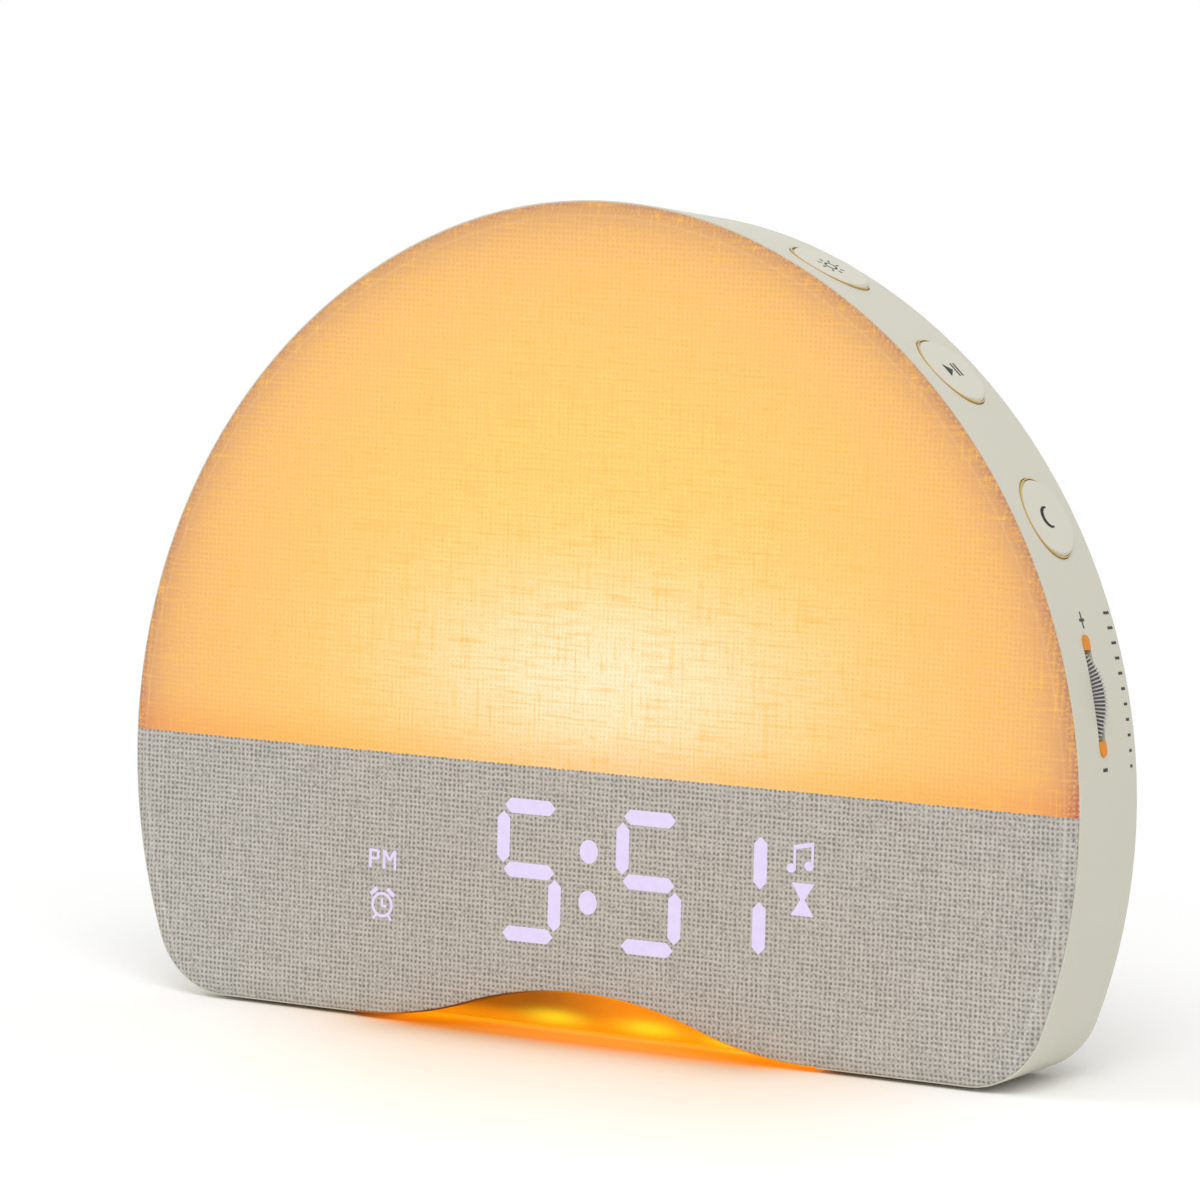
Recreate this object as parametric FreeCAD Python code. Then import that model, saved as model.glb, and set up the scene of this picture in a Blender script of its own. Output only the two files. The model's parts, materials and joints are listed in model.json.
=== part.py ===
import FreeCAD, Part
import math
import os

from FreeCAD import Vector

# Sunrise alarm clock, in millimetres. +Z is up, the cloth front faces -Y, and the button side is +X.
# The origin is on the ground under the middle of the clock, halfway from front to back.

# Outline of the case: a flat base, two rounded foot corners, two side arcs and a crown arc
case_height = 150.4
crown_radius = 90.6
side_radius = 105.5
join_angle = 68.5
foot_corner_radius = 15.1
rim_depth = 25.0
rim_taper = 2.4
case_wall = 2.4
foot_proud = 0.8

# Front panel
panel_proud = 0.8
panel_gap = 0.2
lip_wall = 0.45
cloth_thickness = 0.5
frame_depth = 4.0
edge_band = 2.0
edge_band_depth = 1.0
frame_ring = 3.8
frame_ledge = 3.0
plate_thickness = 2.0
pocket_corner = 4.0
case_ledge = 3.0
case_ledge_thickness = 1.5
seam_height = 48.5
seam_bar = 1.6
fit_gap = 0.2

# Arch cut in the foot of the front, and the night light in it
arch_half_width = 49.0
arch_height = 8.2
arch_margin = 2.6
lens_wall = 1.5
lens_lip = 0.5
lens_setback = 9.5
lens_flange = 3.5
lens_flange_thickness = 1.2
night_board_thickness = 1.2
night_board_width = 74.0
night_board_height = 7.0
night_led_pitch = 18.0
night_led_count = 3
night_led_width = 3.5
night_led_height = 2.8
night_led_thickness = 0.8

# Lamp
tray_depth = 7.4
tray_slope = 13.0
tray_wall = 1.2
tray_flange = 1.2
lamp_board_thickness = 1.4
lamp_board_margin = 1.0
lamp_led_width = 3.5
lamp_led_height = 2.8
lamp_led_thickness = 0.8
lamp_led_pitch_x = 17.0
lamp_led_pitch_z = 14.0
lamp_led_window = 0.8
lamp_led_edge = 9.0

# Display
display_shift = 1.3
display_height = 30.0
digit_offsets = (-30.2, -12.7, 12.7, 30.2)
bar_pitch = 11.6
bar_reach = 5.6
bar_length_across = 10.8
bar_length_up = 9.3
bar_width = 2.6
colon_spread = 4.6
colon_radius = 1.9
symbol_reach = 44.6
symbol_rises_right = (7.6, 0.1)
symbol_rises_left = (-0.6, -9.0)
symbol_side = 6.2
block_margin = 1.9
block_height = 28.0
block_depth = 3.4
display_board_thickness = 1.6
display_board_margin = 3.0
display_led_size = 1.6
display_led_thickness = 0.7
display_post_radius = 2.2
display_post_rise = 6.0

# Light baffle
baffle_thickness = 1.6

# Buttons
button_angles = (64.2, 47.5, 30.2)
button_names = ("upper", "middle", "lower")
button_setback = 12.7
button_radius = 7.4
button_gap = 0.5
button_proud = 0.35
button_edge = 0.45
button_travel = 0.8
button_depth = 3.4
button_flange = 0.7
button_flange_thickness = 1.0
button_stem_radius = 1.8
button_stem_length = 1.6
boss_wall = 2.4
switch_side = 6.0
switch_height = 2.6
switch_plunger_radius = 1.6
switch_plunger_clearance = 0.08
switch_plunger_proud = 1.2
switch_plunger_hidden = 0.8
switch_board_length = 12.0
switch_board_width = 8.0
switch_board_thickness = 1.0
bracket_thickness = 1.6
bracket_width = 9.0
bracket_end_angle = 7.4
bracket_flat = 15.0
bracket_end_flat = 8.0
bracket_pad_radius = 3.0

# Thumbwheel
dial_angle = 12.5
dial_setback = 10.8
dial_radius = 12.0
dial_proud = 1.9
dial_thickness = 2.3
dial_ribs = 88
dial_rib_depth = 0.5
dial_hub_radius = 3.4
dial_hub_proud = 0.6
axle_radius = 1.5
axle_clearance = 0.06
slot_window = 4.2
slot_width = 2.9
insert_clearance = 0.4
insert_recess = 1.0
insert_flange = 1.4
insert_flange_thickness = 1.2
insert_end_gap = 0.1
cheek_thickness = 1.6
cheek_width = 8.0
cheek_clearance = 0.3
dial_pad_wall = 3.6
dial_pad_margin = 3.0
dial_pocket_gap = 0.6
encoder_side = 9.0
encoder_depth = 3.6

# Rear cover
cover_depth = 16.2
cover_plate = 2.0
cover_wall = 2.0
cover_inset = 0.5
cover_edge_bevel = 1.0
bulge_inset = 12.0
bulge_corner = 14.0
bulge_edge = 6.0
cover_lip_depth = 2.5
cover_lip_wall = 1.3
cover_screw_inset = 4.6
cover_screw_angles = (58.0, -10.0)
cover_boss_radius = 3.6
cover_boss_length = 7.0

# Speaker and its slots
speaker_height = 92.0
speaker_radius = 20.0
speaker_flange = 1.2
speaker_gasket = 1.0
speaker_basket_depth = 8.0
speaker_basket_wall = 1.0
basket_window_width = 11.0
basket_window_depth = 3.6
magnet_radius = 11.0
magnet_depth = 5.5
pole_radius = 5.3
pole_rise = 2.4
cone_radius = 15.5
cone_depth = 5.0
cone_wall = 0.5
coil_radius = 6.5
surround_radius = 1.4
surround_gap = 0.1
surround_wall = 0.35
cone_rim = 0.7
coil_length = 2.4
dust_cap_rise = 0.8
speaker_ear_reach = 22.6
speaker_ear_radius = 3.0
grille_radius = 15.5
grille_pitch = 4.2
grille_slot = 1.9

# Main board
main_board_width = 88.0
main_board_height = 36.0
main_board_thickness = 1.6
main_board_floor = 12.0
main_board_setback = 7.0
main_boss_radius = 3.0
main_boss_margin = 5.0
# Each chip: across and up from the board's middle, width, height and thickness
chips = (
    (-18.0, 2.0, 12.0, 12.0, 1.6),
    (8.0, 6.0, 6.0, 5.0, 1.4),
    (24.0, -4.0, 8.0, 6.0, 1.6),
    (-2.0, -8.0, 3.2, 8.0, 2.0),
)
# Each capacitor: across and up from the board's middle, radius and height
capacitors = ((36.0, 3.0, 4.0, 7.5), (36.0, -6.0, 3.15, 6.5), (-34.0, 1.0, 3.15, 6.5))
capacitor_sides = 20
# Row of connectors: the room left at the board's two ends, then each one's width and its share of the free room
connector_left_margin = 10.0
connector_right_margin = 15.0
connectors = ((8.0, 0.0), (8.0, 5.0), (12.0, 4.0), (6.0, 8.0), (8.0, 4.0))
connector_depth = 5.0
connector_height = 4.5
connector_wall = 0.7
connector_setback = 3.0

# Power inlet
inlet_width = 9.0
inlet_height = 3.3
inlet_wall = 0.35
inlet_inset = 14.0
inlet_offset = main_board_width / 2 - inlet_inset
inlet_gap = 0.35
tongue_width = 6.6
tongue_thickness = 0.7

# Screws and feet
screw_radius = 1.15
screw_head_radius = 2.3
screw_head = 1.3
screw_head_sides = 16
screw_sides = 10
screw_clearance = 0.05
hole_clearance = 0.25
foot_radius = 5.0
foot_recess = 1.0
foot_edge = 0.4
foot_reach_front = 62.0
foot_reach_rear = 52.0
foot_setback_front = 19.0
foot_setback_rear = 33.0

os.makedirs("parts", exist_ok=True)

# Planes shared by the pieces
total_depth = panel_proud + rim_depth + cover_depth
rim_y = panel_proud - total_depth / 2
panel_y = rim_y - panel_proud
frame_y = panel_y + cloth_thickness
plate_back_y = frame_y + plate_thickness
frame_back_y = rim_y + frame_depth
tray_back_y = frame_back_y + tray_depth
rear_y = rim_y + rim_depth
back_y = rear_y + cover_depth
cover_face_y = back_y - cover_wall
base_z = foot_proud
seam_z = base_z + seam_height
display_z = base_z + display_height
arch_top_z = base_z + arch_height
cloth_inset = lip_wall + panel_gap
frame_inset = cloth_inset + cloth_thickness
pocket_inset = frame_inset + frame_ring
window_inset = pocket_inset + frame_ledge
X_AXIS = Vector(1, 0, 0)
Y_AXIS = Vector(0, 1, 0)
Z_AXIS = Vector(0, 0, 1)

# Centres of the outline's arcs: the crown's, and the right side's, which makes the two meet without a kink
crown_z = base_z + case_height - crown_radius
side_x = (crown_radius - side_radius) * math.cos(math.radians(join_angle))
side_z = crown_z + (crown_radius - side_radius) * math.sin(math.radians(join_angle))


def export(name, shape):
    """Writes one piece, or one group of like pieces, to its own file."""
    shape.exportStep("parts/%s.step" % name)


def box(x0, x1, y0, y1, z0, z1):
    return Part.makeBox(x1 - x0, y1 - y0, z1 - z0, Vector(x0, y0, z0))


def rod(radius, length, start, direction):
    return Part.makeCylinder(radius, length, start, direction)


def around(x, z, radius, angle, y):
    """A point at a polar angle, in degrees, about a centre in the plane of the outline."""
    a = math.radians(angle)
    return Vector(x + radius * math.cos(a), y, z + radius * math.sin(a))


def arch_wire(inset, y, floor, corner):
    """The case's outline, drawn in by an inset, with its own floor height and foot corners."""
    crown = crown_radius - inset
    side = side_radius - inset
    foot_x = side_x + math.sqrt((side - corner) ** 2 - (floor + corner - side_z) ** 2)
    foot_angle = math.degrees(math.atan2(floor + corner - side_z, foot_x - side_x))
    turn = (foot_angle - 90) / 2
    corner_mid = around(foot_x, floor + corner, corner, turn, y)
    right = [
        Vector(foot_x, y, floor),
        corner_mid,
        around(side_x, side_z, side, foot_angle, y),
        around(side_x, side_z, side, (foot_angle + join_angle) / 2, y),
        around(0, crown_z, crown, join_angle, y),
    ]
    left = [Vector(-p.x, p.y, p.z) for p in right]
    top = Vector(0, y, crown_z + crown)
    edges = [
        Part.LineSegment(left[0], right[0]).toShape(),
        Part.Arc(right[0], right[1], right[2]).toShape(),
        Part.Arc(right[2], right[3], right[4]).toShape(),
        Part.Arc(right[4], top, left[4]).toShape(),
        Part.Arc(left[4], left[3], left[2]).toShape(),
        Part.Arc(left[2], left[1], left[0]).toShape(),
    ]
    return Part.Wire(edges)


def arch_block(inset, y0, y1, floor, corner):
    return Part.Face(arch_wire(inset, y0, floor, corner)).extrude(Vector(0, y1 - y0, 0))


def taper_at(y):
    return rim_taper * (y - rim_y) / rim_depth


def tapered_block(inset, y0, y1, floor, corner):
    """The case's outline with the rim's draft, which narrows it toward the back."""
    front = arch_wire(inset + taper_at(y0), y0, floor, corner)
    back = arch_wire(inset + taper_at(y1), y1, floor, corner)
    return Part.makeLoft([front, back], True, True)


def softened_block(inset, y0, y1):
    """The case's outline with a sloping band round its front edge, as stretched cloth has."""
    corner = foot_corner_radius - inset
    inner = arch_wire(inset + edge_band, y0, base_z + inset + edge_band, corner - edge_band)
    outer = arch_wire(inset, y0 + edge_band_depth, base_z + inset, corner)
    band = Part.makeLoft([inner, outer], True, True)
    return band.fuse(arch_block(inset, y0 + edge_band_depth, y1, base_z + inset, corner))


def ogee_block(offset, y0, y1, bottom):
    """The arch under the front: a crest arc that runs out into two foot arcs."""
    radius = (arch_half_width ** 2 + arch_height ** 2) / (4 * arch_height)
    half_turn = math.degrees(math.asin(arch_half_width / 2 / radius))
    crest = radius + offset
    foot = radius - offset
    crest_z = arch_top_z - radius
    foot_z = base_z + radius
    right = [
        around(0, crest_z, crest, 90 - half_turn, y0),
        around(arch_half_width, foot_z, foot, 270 - half_turn / 2, y0),
        Vector(arch_half_width, y0, base_z + offset),
        Vector(arch_half_width, y0, bottom),
    ]
    left = [Vector(-p.x, p.y, p.z) for p in right]
    top = Vector(0, y0, crest_z + crest)
    edges = [
        Part.Arc(left[0], top, right[0]).toShape(),
        Part.Arc(right[0], right[1], right[2]).toShape(),
        Part.LineSegment(right[2], right[3]).toShape(),
        Part.LineSegment(right[3], left[3]).toShape(),
        Part.LineSegment(left[3], left[2]).toShape(),
        Part.Arc(left[2], left[1], left[0]).toShape(),
    ]
    return Part.Face(Part.Wire(edges)).extrude(Vector(0, y1 - y0, 0))


def edges_on_plane(shape, y):
    """The edges that lie in one plane across the depth."""
    on_plane = []
    for edge in shape.Edges:
        bounds = edge.BoundBox
        if abs(bounds.YMin - y) < 0.001 and abs(bounds.YMax - y) < 0.001:
            on_plane.append(edge)
    return on_plane


def stadium(length, width, depth, centre, along, normal):
    """A bar with round ends, centred on its axis, that runs from its face along the normal."""
    across = normal.cross(along)
    straight = (length - width) / 2
    half = width / 2
    corner = [
        centre + along * straight + across * half,
        centre - along * straight + across * half,
        centre - along * straight - across * half,
        centre + along * straight - across * half,
    ]
    edges = [
        Part.LineSegment(corner[0], corner[1]).toShape(),
        Part.Arc(corner[1], centre - along * (straight + half), corner[2]).toShape(),
        Part.LineSegment(corner[2], corner[3]).toShape(),
        Part.Arc(corner[3], centre + along * (straight + half), corner[0]).toShape(),
    ]
    return Part.Face(Part.Wire(edges)).extrude(normal * depth)


def mirrored(points):
    return points + [Vector(-p.x, p.y, p.z) for p in points]


def prism(radius, length, start, direction, sides):
    """A many-sided bar whose corners lie on a circle."""
    along = direction.normalize() if direction.Length != 1 else direction
    helper = Z_AXIS if abs(along.z) < abs(along.y) or abs(along.z) < abs(along.x) else X_AXIS
    first = along.cross(helper).normalize()
    second = along.cross(first)
    corners = []
    for index in range(sides + 1):
        a = 2 * math.pi * (index % sides) / sides
        corners.append(start + first * (radius * math.cos(a)) + second * (radius * math.sin(a)))
    return Part.Face(Part.makePolygon(corners)).extrude(along * length)


def screw(head_seat, direction, length):
    """A screw with a plain head: the direction is the way it is driven, and the head sits on its seat."""
    head = prism(screw_head_radius, screw_head, head_seat, direction * -1, screw_head_sides)
    return head.fuse(prism(screw_radius, length, head_seat, direction, screw_sides))


def square_on(centre, along, across, normal, length, width, depth):
    """A plate with its face's centre, its two side directions and the way that it goes."""
    corner = centre - along * (length / 2) - across * (width / 2)
    wire = Part.makePolygon([
        corner,
        corner + along * length,
        corner + along * length + across * width,
        corner + across * width,
        corner,
    ])
    return Part.Face(wire).extrude(normal * depth)


# Where the buttons sit
class Seat:
    """A place on the right side of the rim: the surface point, the way in and the way along the rim."""

    def __init__(self, angle, setback):
        self.y = rim_y + setback
        self.surface_radius = side_radius - taper_at(self.y)
        self.point = around(side_x, side_z, self.surface_radius, angle, self.y)
        a = math.radians(angle)
        self.inward = Vector(-math.cos(a), 0, -math.sin(a))
        self.along = Vector(-math.sin(a), 0, math.cos(a))

    def at(self, depth):
        return self.point + self.inward * depth


button_seats = [Seat(angle, button_setback) for angle in button_angles]
dial_seat = Seat(dial_angle, dial_setback)
dial_centre = dial_seat.at(dial_radius - dial_proud)
slot_length = 2 * (math.sqrt(dial_radius ** 2 - (dial_radius - dial_proud) ** 2) + slot_window)
flange_depth = button_depth + button_flange_thickness
stem_depth = flange_depth + button_stem_length
switch_depth = stem_depth + switch_plunger_proud
switch_board_depth = switch_depth + switch_height
bracket_depth = switch_board_depth + switch_board_thickness


def cover_screw_points(y):
    """The four rear screws, level with the rim's outline at a set inset."""
    inset = cover_screw_inset + rim_taper
    return mirrored([around(side_x, side_z, side_radius - inset, angle, y) for angle in cover_screw_angles])


def foot_points():
    front = mirrored([Vector(foot_reach_front, rim_y + foot_setback_front, 0)])
    rear = mirrored([Vector(foot_reach_rear, rim_y + foot_setback_rear, 0)])
    return front, rear


# The place of each end pad of the button bracket, on the inner face of the case wall
bracket_pad_angles = (
    button_angles[0] + bracket_end_angle,
    button_angles[2] - bracket_end_angle,
)


def pad_seat(angle):
    return Seat(angle, button_setback)


def make_case_shell():
    """The rim: a drafted tube with a lip round the cloth, a ledge for the frame and bosses inside."""
    ledge_y = frame_back_y + case_ledge_thickness
    corner = foot_corner_radius
    shell = tapered_block(0, rim_y, rear_y, base_z, corner)
    rebate = arch_block(lip_wall, rim_y - 1, frame_back_y, base_z + lip_wall, corner - lip_wall)
    ledge_inset = case_wall + case_ledge
    ledge_hole = arch_block(ledge_inset, frame_back_y - 1, ledge_y + 1, base_z + ledge_inset,
                            corner - ledge_inset)
    cavity = tapered_block(case_wall, ledge_y, rear_y + 1, base_z + case_wall, corner - case_wall)
    inside = tapered_block(case_wall / 2, ledge_y, rear_y, base_z + case_wall / 2, corner)
    additions = []
    for seat in button_seats:
        additions.append(rod(button_radius + button_gap + boss_wall, button_depth, seat.at(0), seat.inward))
    additions.append(stadium(slot_length + 2 * dial_pad_margin, slot_width + 2 * dial_pad_margin, dial_pad_wall,
                             dial_seat.at(0), dial_seat.along, dial_seat.inward))
    for point in cover_screw_points(rear_y - cover_boss_length):
        additions.append(rod(cover_boss_radius, cover_boss_length, point, Y_AXIS))
    for angle in bracket_pad_angles:
        seat = pad_seat(angle)
        additions.append(rod(bracket_pad_radius, bracket_depth, seat.at(0), seat.inward))
    shell = shell.cut(rebate).cut(ledge_hole).cut(cavity)
    for piece in additions:
        shell = shell.fuse(piece.common(inside))
    for seat in button_seats:
        shell = shell.cut(rod(button_radius + button_gap, button_depth + 4, seat.at(-2), seat.inward))
        room = button_radius + button_flange + button_gap
        room_depth = button_flange_thickness + 3 * button_travel
        shell = shell.cut(rod(room, room_depth, seat.at(button_depth), seat.inward))
    shell = shell.cut(stadium(slot_length, slot_width, 8, dial_seat.at(-2), dial_seat.along, dial_seat.inward))
    shell = shell.cut(insert_flange_pocket())
    for point in cover_screw_points(rear_y - cover_boss_length + 1):
        shell = shell.cut(rod(screw_radius + screw_clearance, cover_boss_length, point, Y_AXIS))
    for angle in bracket_pad_angles:
        seat = pad_seat(angle)
        depth = bracket_depth - case_wall - 1
        shell = shell.cut(rod(screw_radius + screw_clearance, depth, seat.at(bracket_depth), seat.inward * -1))
    notch_back = rim_y + lens_setback + lens_wall + fit_gap
    shell = shell.cut(ogee_block(lens_wall + fit_gap, rim_y - 1, notch_back, base_z - 1))
    for point in foot_points()[0]:
        shell = shell.cut(rod(foot_radius + fit_gap, foot_recess, Vector(point.x, point.y, base_z), Z_AXIS))
    return shell.removeSplitter()


def insert_flange_pocket():
    """The seat of the amber insert's flange, on the inner side of the wall round the slot."""
    length = slot_length + 2 * (insert_flange + fit_gap)
    width = slot_width + 2 * (insert_flange + fit_gap)
    start = dial_seat.at(dial_pad_wall - insert_flange_thickness)
    return stadium(length, width, 4, start, dial_seat.along, dial_seat.inward)


def make_dial_insert():
    """Amber light guide: two tips in the ends of the slot, joined by a flange behind the wall."""
    tip_length = slot_length - 2 * insert_end_gap
    tip_width = slot_width - 2 * insert_end_gap
    depth = dial_pad_wall - insert_flange_thickness
    tips = stadium(tip_length, tip_width, depth - insert_recess, dial_seat.at(insert_recess),
                   dial_seat.along, dial_seat.inward)
    flange = stadium(slot_length + 2 * insert_flange, slot_width + 2 * insert_flange, insert_flange_thickness,
                     dial_seat.at(depth), dial_seat.along, dial_seat.inward)
    sweep_width = dial_thickness + 2 * cheek_clearance
    start = Vector(dial_centre.x, dial_centre.y - sweep_width / 2, dial_centre.z)
    wheel_room = rod(dial_radius + insert_clearance, sweep_width, start, Y_AXIS)
    return tips.fuse(flange).cut(wheel_room).removeSplitter()


def make_front_frame():
    """The frame that the cloth is stretched over: a ring, a seam bar and two rebated windows."""
    frame = softened_block(frame_inset, frame_y, frame_back_y)
    lamp_floor = seam_z + seam_bar / 2
    lamp_pocket = arch_block(pocket_inset, frame_y - 1, plate_back_y, lamp_floor, pocket_corner)
    lamp_window = arch_block(window_inset, frame_y, frame_back_y + 1, lamp_floor + frame_ledge, pocket_corner)
    frame = frame.cut(lamp_pocket).cut(lamp_window)
    frame = frame.cut(display_opening(pocket_inset, frame_y - 1, plate_back_y, 0))
    frame = frame.cut(display_opening(window_inset, frame_y, frame_back_y + 1, frame_ledge))
    return frame.cut(ogee_block(lens_lip + fit_gap, frame_y - 1, frame_back_y + 1, base_z - 1)).removeSplitter()


def display_opening(inset, y0, y1, margin):
    """The space between the arch in the foot and the seam bar."""
    floor = arch_top_z + arch_margin + margin
    whole = arch_block(inset, y0, y1, floor, pocket_corner)
    ceiling = seam_z - seam_bar / 2 - margin
    return whole.common(box(-case_height, case_height, y0, y1, 0, ceiling))


def make_front_fabric():
    """The cloth: a skin over the frame's face that turns round its edge into the groove."""
    skin = softened_block(cloth_inset, panel_y, frame_back_y)
    skin = skin.cut(softened_block(frame_inset, frame_y, frame_back_y + 1))
    return skin.cut(ogee_block(lens_lip + fit_gap, panel_y - 1, frame_back_y + 1, base_z - 1)).removeSplitter()


def make_light_diffuser():
    floor = seam_z + seam_bar / 2 + fit_gap
    return arch_block(pocket_inset + fit_gap, frame_y, plate_back_y, floor, pocket_corner)


def bar_outline(centre_x, centre_z, length, width, upright, y, grow):
    """A display bar with pointed ends, lying across or standing upright."""
    half = length / 2 + grow
    thick = width / 2 + grow
    flat = [(-half, 0), (thick - half, thick), (half - thick, thick), (half, 0), (half - thick, -thick),
            (thick - half, -thick), (-half, 0)]
    if upright:
        flat = [(b, a) for a, b in flat]
    return Part.makePolygon([Vector(centre_x + a, y, centre_z + b) for a, b in flat])


def segment_outlines(y, grow):
    """Every light well of the display: seven bars to a digit."""
    wires = []
    for offset in digit_offsets:
        x = display_shift + offset
        for level in (-1, 0, 1):
            z = display_z + level * bar_pitch
            wires.append(bar_outline(x, z, bar_length_across, bar_width, False, y, grow))
        for side in (-1, 1):
            for level in (-0.5, 0.5):
                z = display_z + level * bar_pitch
                wires.append(bar_outline(x + side * bar_reach, z, bar_length_up, bar_width, True, y, grow))
    return wires


def symbol_points():
    """The middles of the small signs' windows, two on each side of the digits."""
    right = [(display_shift + symbol_reach, display_z + rise) for rise in symbol_rises_right]
    left = [(display_shift - symbol_reach, display_z + rise) for rise in symbol_rises_left]
    return right + left


def dot_and_symbol_solids(y0, y1, grow):
    """The colon's two dots and the four square windows of the symbols."""
    solids = []
    for side in (-1, 1):
        start = Vector(display_shift, y0, display_z + side * colon_spread)
        solids.append(rod(colon_radius + grow, y1 - y0, start, Y_AXIS))
    half = symbol_side / 2 + grow
    for x, z in symbol_points():
        solids.append(box(x - half, x + half, y0, y1, z - half, z + half))
    return solids


def segment_solids(y0, y1, grow):
    bars = [Part.Face(wire).extrude(Vector(0, y1 - y0, 0)) for wire in segment_outlines(y0, grow)]
    return bars + dot_and_symbol_solids(y0, y1, grow)


def display_posts(y0, y1, radius):
    """The four posts that stand on the display plate beside the segment block."""
    reach = block_width / 2 + display_post_radius + 1
    points = []
    for side in (-1, 1):
        for level in (-1, 1):
            points.append(Vector(display_shift + side * reach, y0, display_z + level * display_post_rise))
    return [rod(radius, y1 - y0, point, Y_AXIS) for point in points]


block_back_y = plate_back_y + block_depth
block_width = 2 * (symbol_reach + symbol_side / 2 + block_margin)
display_board_back_y = block_back_y + display_board_thickness


def make_display_plate():
    """The plate behind the lower cloth, with a well for each bar and four posts for the board."""
    plate = display_opening(pocket_inset + fit_gap, frame_y, plate_back_y, fit_gap)
    posts = display_posts(plate_back_y, block_back_y, display_post_radius)
    plate = plate.fuse(posts)
    plate = plate.cut(display_posts(plate_back_y + 0.4, block_back_y + 1, screw_radius + screw_clearance))
    return plate.cut(segment_solids(frame_y - 1, plate_back_y + 1, 0.1)).removeSplitter()


def make_segment_block():
    half_width = block_width / 2
    half_height = block_height / 2
    block = box(display_shift - half_width, display_shift + half_width, plate_back_y, block_back_y,
                display_z - half_height, display_z + half_height)
    return block.cut(segment_solids(plate_back_y - 1, block_back_y + 1, 0.1))


def make_lit_segments():
    back = block_back_y - display_led_thickness - 0.3
    return Part.makeCompound(segment_solids(frame_y, back, 0))


def display_led_points():
    points = []
    for offset in digit_offsets:
        x = display_shift + offset
        for level in (-1, 0, 1):
            points.append((x, display_z + level * bar_pitch))
        for side in (-1, 1):
            for level in (-0.5, 0.5):
                points.append((x + side * bar_reach, display_z + level * bar_pitch))
    for side in (-1, 1):
        points.append((display_shift, display_z + side * colon_spread))
    return points + symbol_points()


def make_display_leds():
    half = display_led_size / 2
    front = block_back_y - display_led_thickness
    solids = [box(x - half, x + half, front, block_back_y, z - half, z + half) for x, z in display_led_points()]
    return Part.makeCompound(solids)


def make_display_board():
    half_width = block_width / 2 + display_board_margin + 2 * display_post_radius
    half_height = block_height / 2
    board = box(display_shift - half_width, display_shift + half_width, block_back_y, display_board_back_y,
                display_z - half_height, display_z + half_height)
    return board.cut(display_posts(block_back_y - 1, display_board_back_y + 1, screw_radius + hole_clearance))


def make_display_screws():
    length = display_board_thickness + block_depth - 0.6
    posts = display_posts(display_board_back_y, display_board_back_y + 1, 1)
    return Part.makeCompound([screw(axis_start(post), Y_AXIS * -1, length) for post in posts])


def axis_start(post):
    bounds = post.BoundBox
    return Vector((bounds.XMin + bounds.XMax) / 2, bounds.YMin, (bounds.ZMin + bounds.ZMax) / 2)


def make_light_baffle():
    """The shelf that keeps the lamp's light off the display, from the frame to the lamp board."""
    low = seam_z - baffle_thickness / 2
    inner = arch_block(window_inset - 1, frame_back_y, tray_back_y, base_z + window_inset, pocket_corner)
    shelf = inner.common(box(-case_height, case_height, frame_back_y, tray_back_y, low, low + baffle_thickness))
    return shelf.cut(dial_pocket(0))


def lamp_led_points():
    """A grid of lamps over the board, wherever the outline leaves room."""
    points = []
    floor = tray_floor_back() + lamp_led_edge / 2
    reach = crown_radius - window_inset - tray_slope - lamp_led_edge
    rows = int((crown_z + reach - floor) / lamp_led_pitch_z) + 1
    for row in range(rows):
        z = floor + row * lamp_led_pitch_z
        room = math.sqrt(max(reach ** 2 - (z - crown_z) ** 2, 0))
        count = int(room / lamp_led_pitch_x)
        for column in range(-count, count + 1):
            points.append((column * lamp_led_pitch_x, z))
    return points


def tray_floor_back():
    return seam_z + seam_bar / 2 + frame_ledge + tray_slope / 3


def dial_pocket(wall):
    """The room that the tray leaves for the thumbwheel's bracket."""
    near = dial_centre.y - axle_ends()[1] - dial_pocket_gap - wall
    depth = 2 * dial_radius - dial_proud + 1.2 + bracket_thickness + dial_pocket_gap + wall
    width = 2 * (dial_radius + dial_pocket_gap + wall)
    centre = dial_seat.at(depth / 2)
    start = Vector(centre.x, near, centre.z)
    return square_on(start, dial_seat.inward, dial_seat.along, Y_AXIS, depth, width, case_height)


def make_reflector_tray():
    """A white dish from the frame's upper window back to the lamp board, with a window for each lamp."""
    floor_front = seam_z + seam_bar / 2 + frame_ledge
    front = arch_wire(window_inset, frame_back_y, floor_front, pocket_corner)
    back = arch_wire(window_inset + tray_slope, tray_back_y, tray_floor_back(), pocket_corner)
    front_inner = arch_wire(window_inset + tray_wall, frame_back_y, floor_front + tray_wall, pocket_corner)
    back_inner = arch_wire(window_inset + tray_slope + tray_wall, tray_back_y - tray_wall,
                           tray_floor_back() + tray_wall, pocket_corner)
    tray = Part.makeLoft([front, back], True, True).cut(Part.makeLoft([front_inner, back_inner], True, True))
    flange = arch_block(window_inset - tray_flange, frame_back_y, frame_back_y + tray_wall,
                        floor_front - tray_flange, pocket_corner)
    opening = arch_block(window_inset + tray_wall, frame_back_y - 1, frame_back_y + tray_wall + 1,
                         floor_front + tray_wall, pocket_corner)
    tray = tray.fuse(flange.cut(opening))
    solid = Part.makeLoft([front, back], True, True)
    tray = tray.fuse(dial_pocket(tray_wall).common(solid)).cut(dial_pocket(0))
    half_width = lamp_led_width / 2 + lamp_led_window
    half_height = lamp_led_height / 2 + lamp_led_window
    windows = [box(x - half_width, x + half_width, tray_back_y - 2 * tray_wall, tray_back_y + 1, z - half_height,
                   z + half_height) for x, z in lamp_led_points()]
    return tray.cut(windows).removeSplitter()


def make_lamp_board():
    back = tray_back_y + lamp_board_thickness
    board = arch_block(window_inset + tray_slope + lamp_board_margin, tray_back_y, back,
                       tray_floor_back() + lamp_board_margin, pocket_corner)
    return board.cut(dial_pocket(tray_wall))


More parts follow.
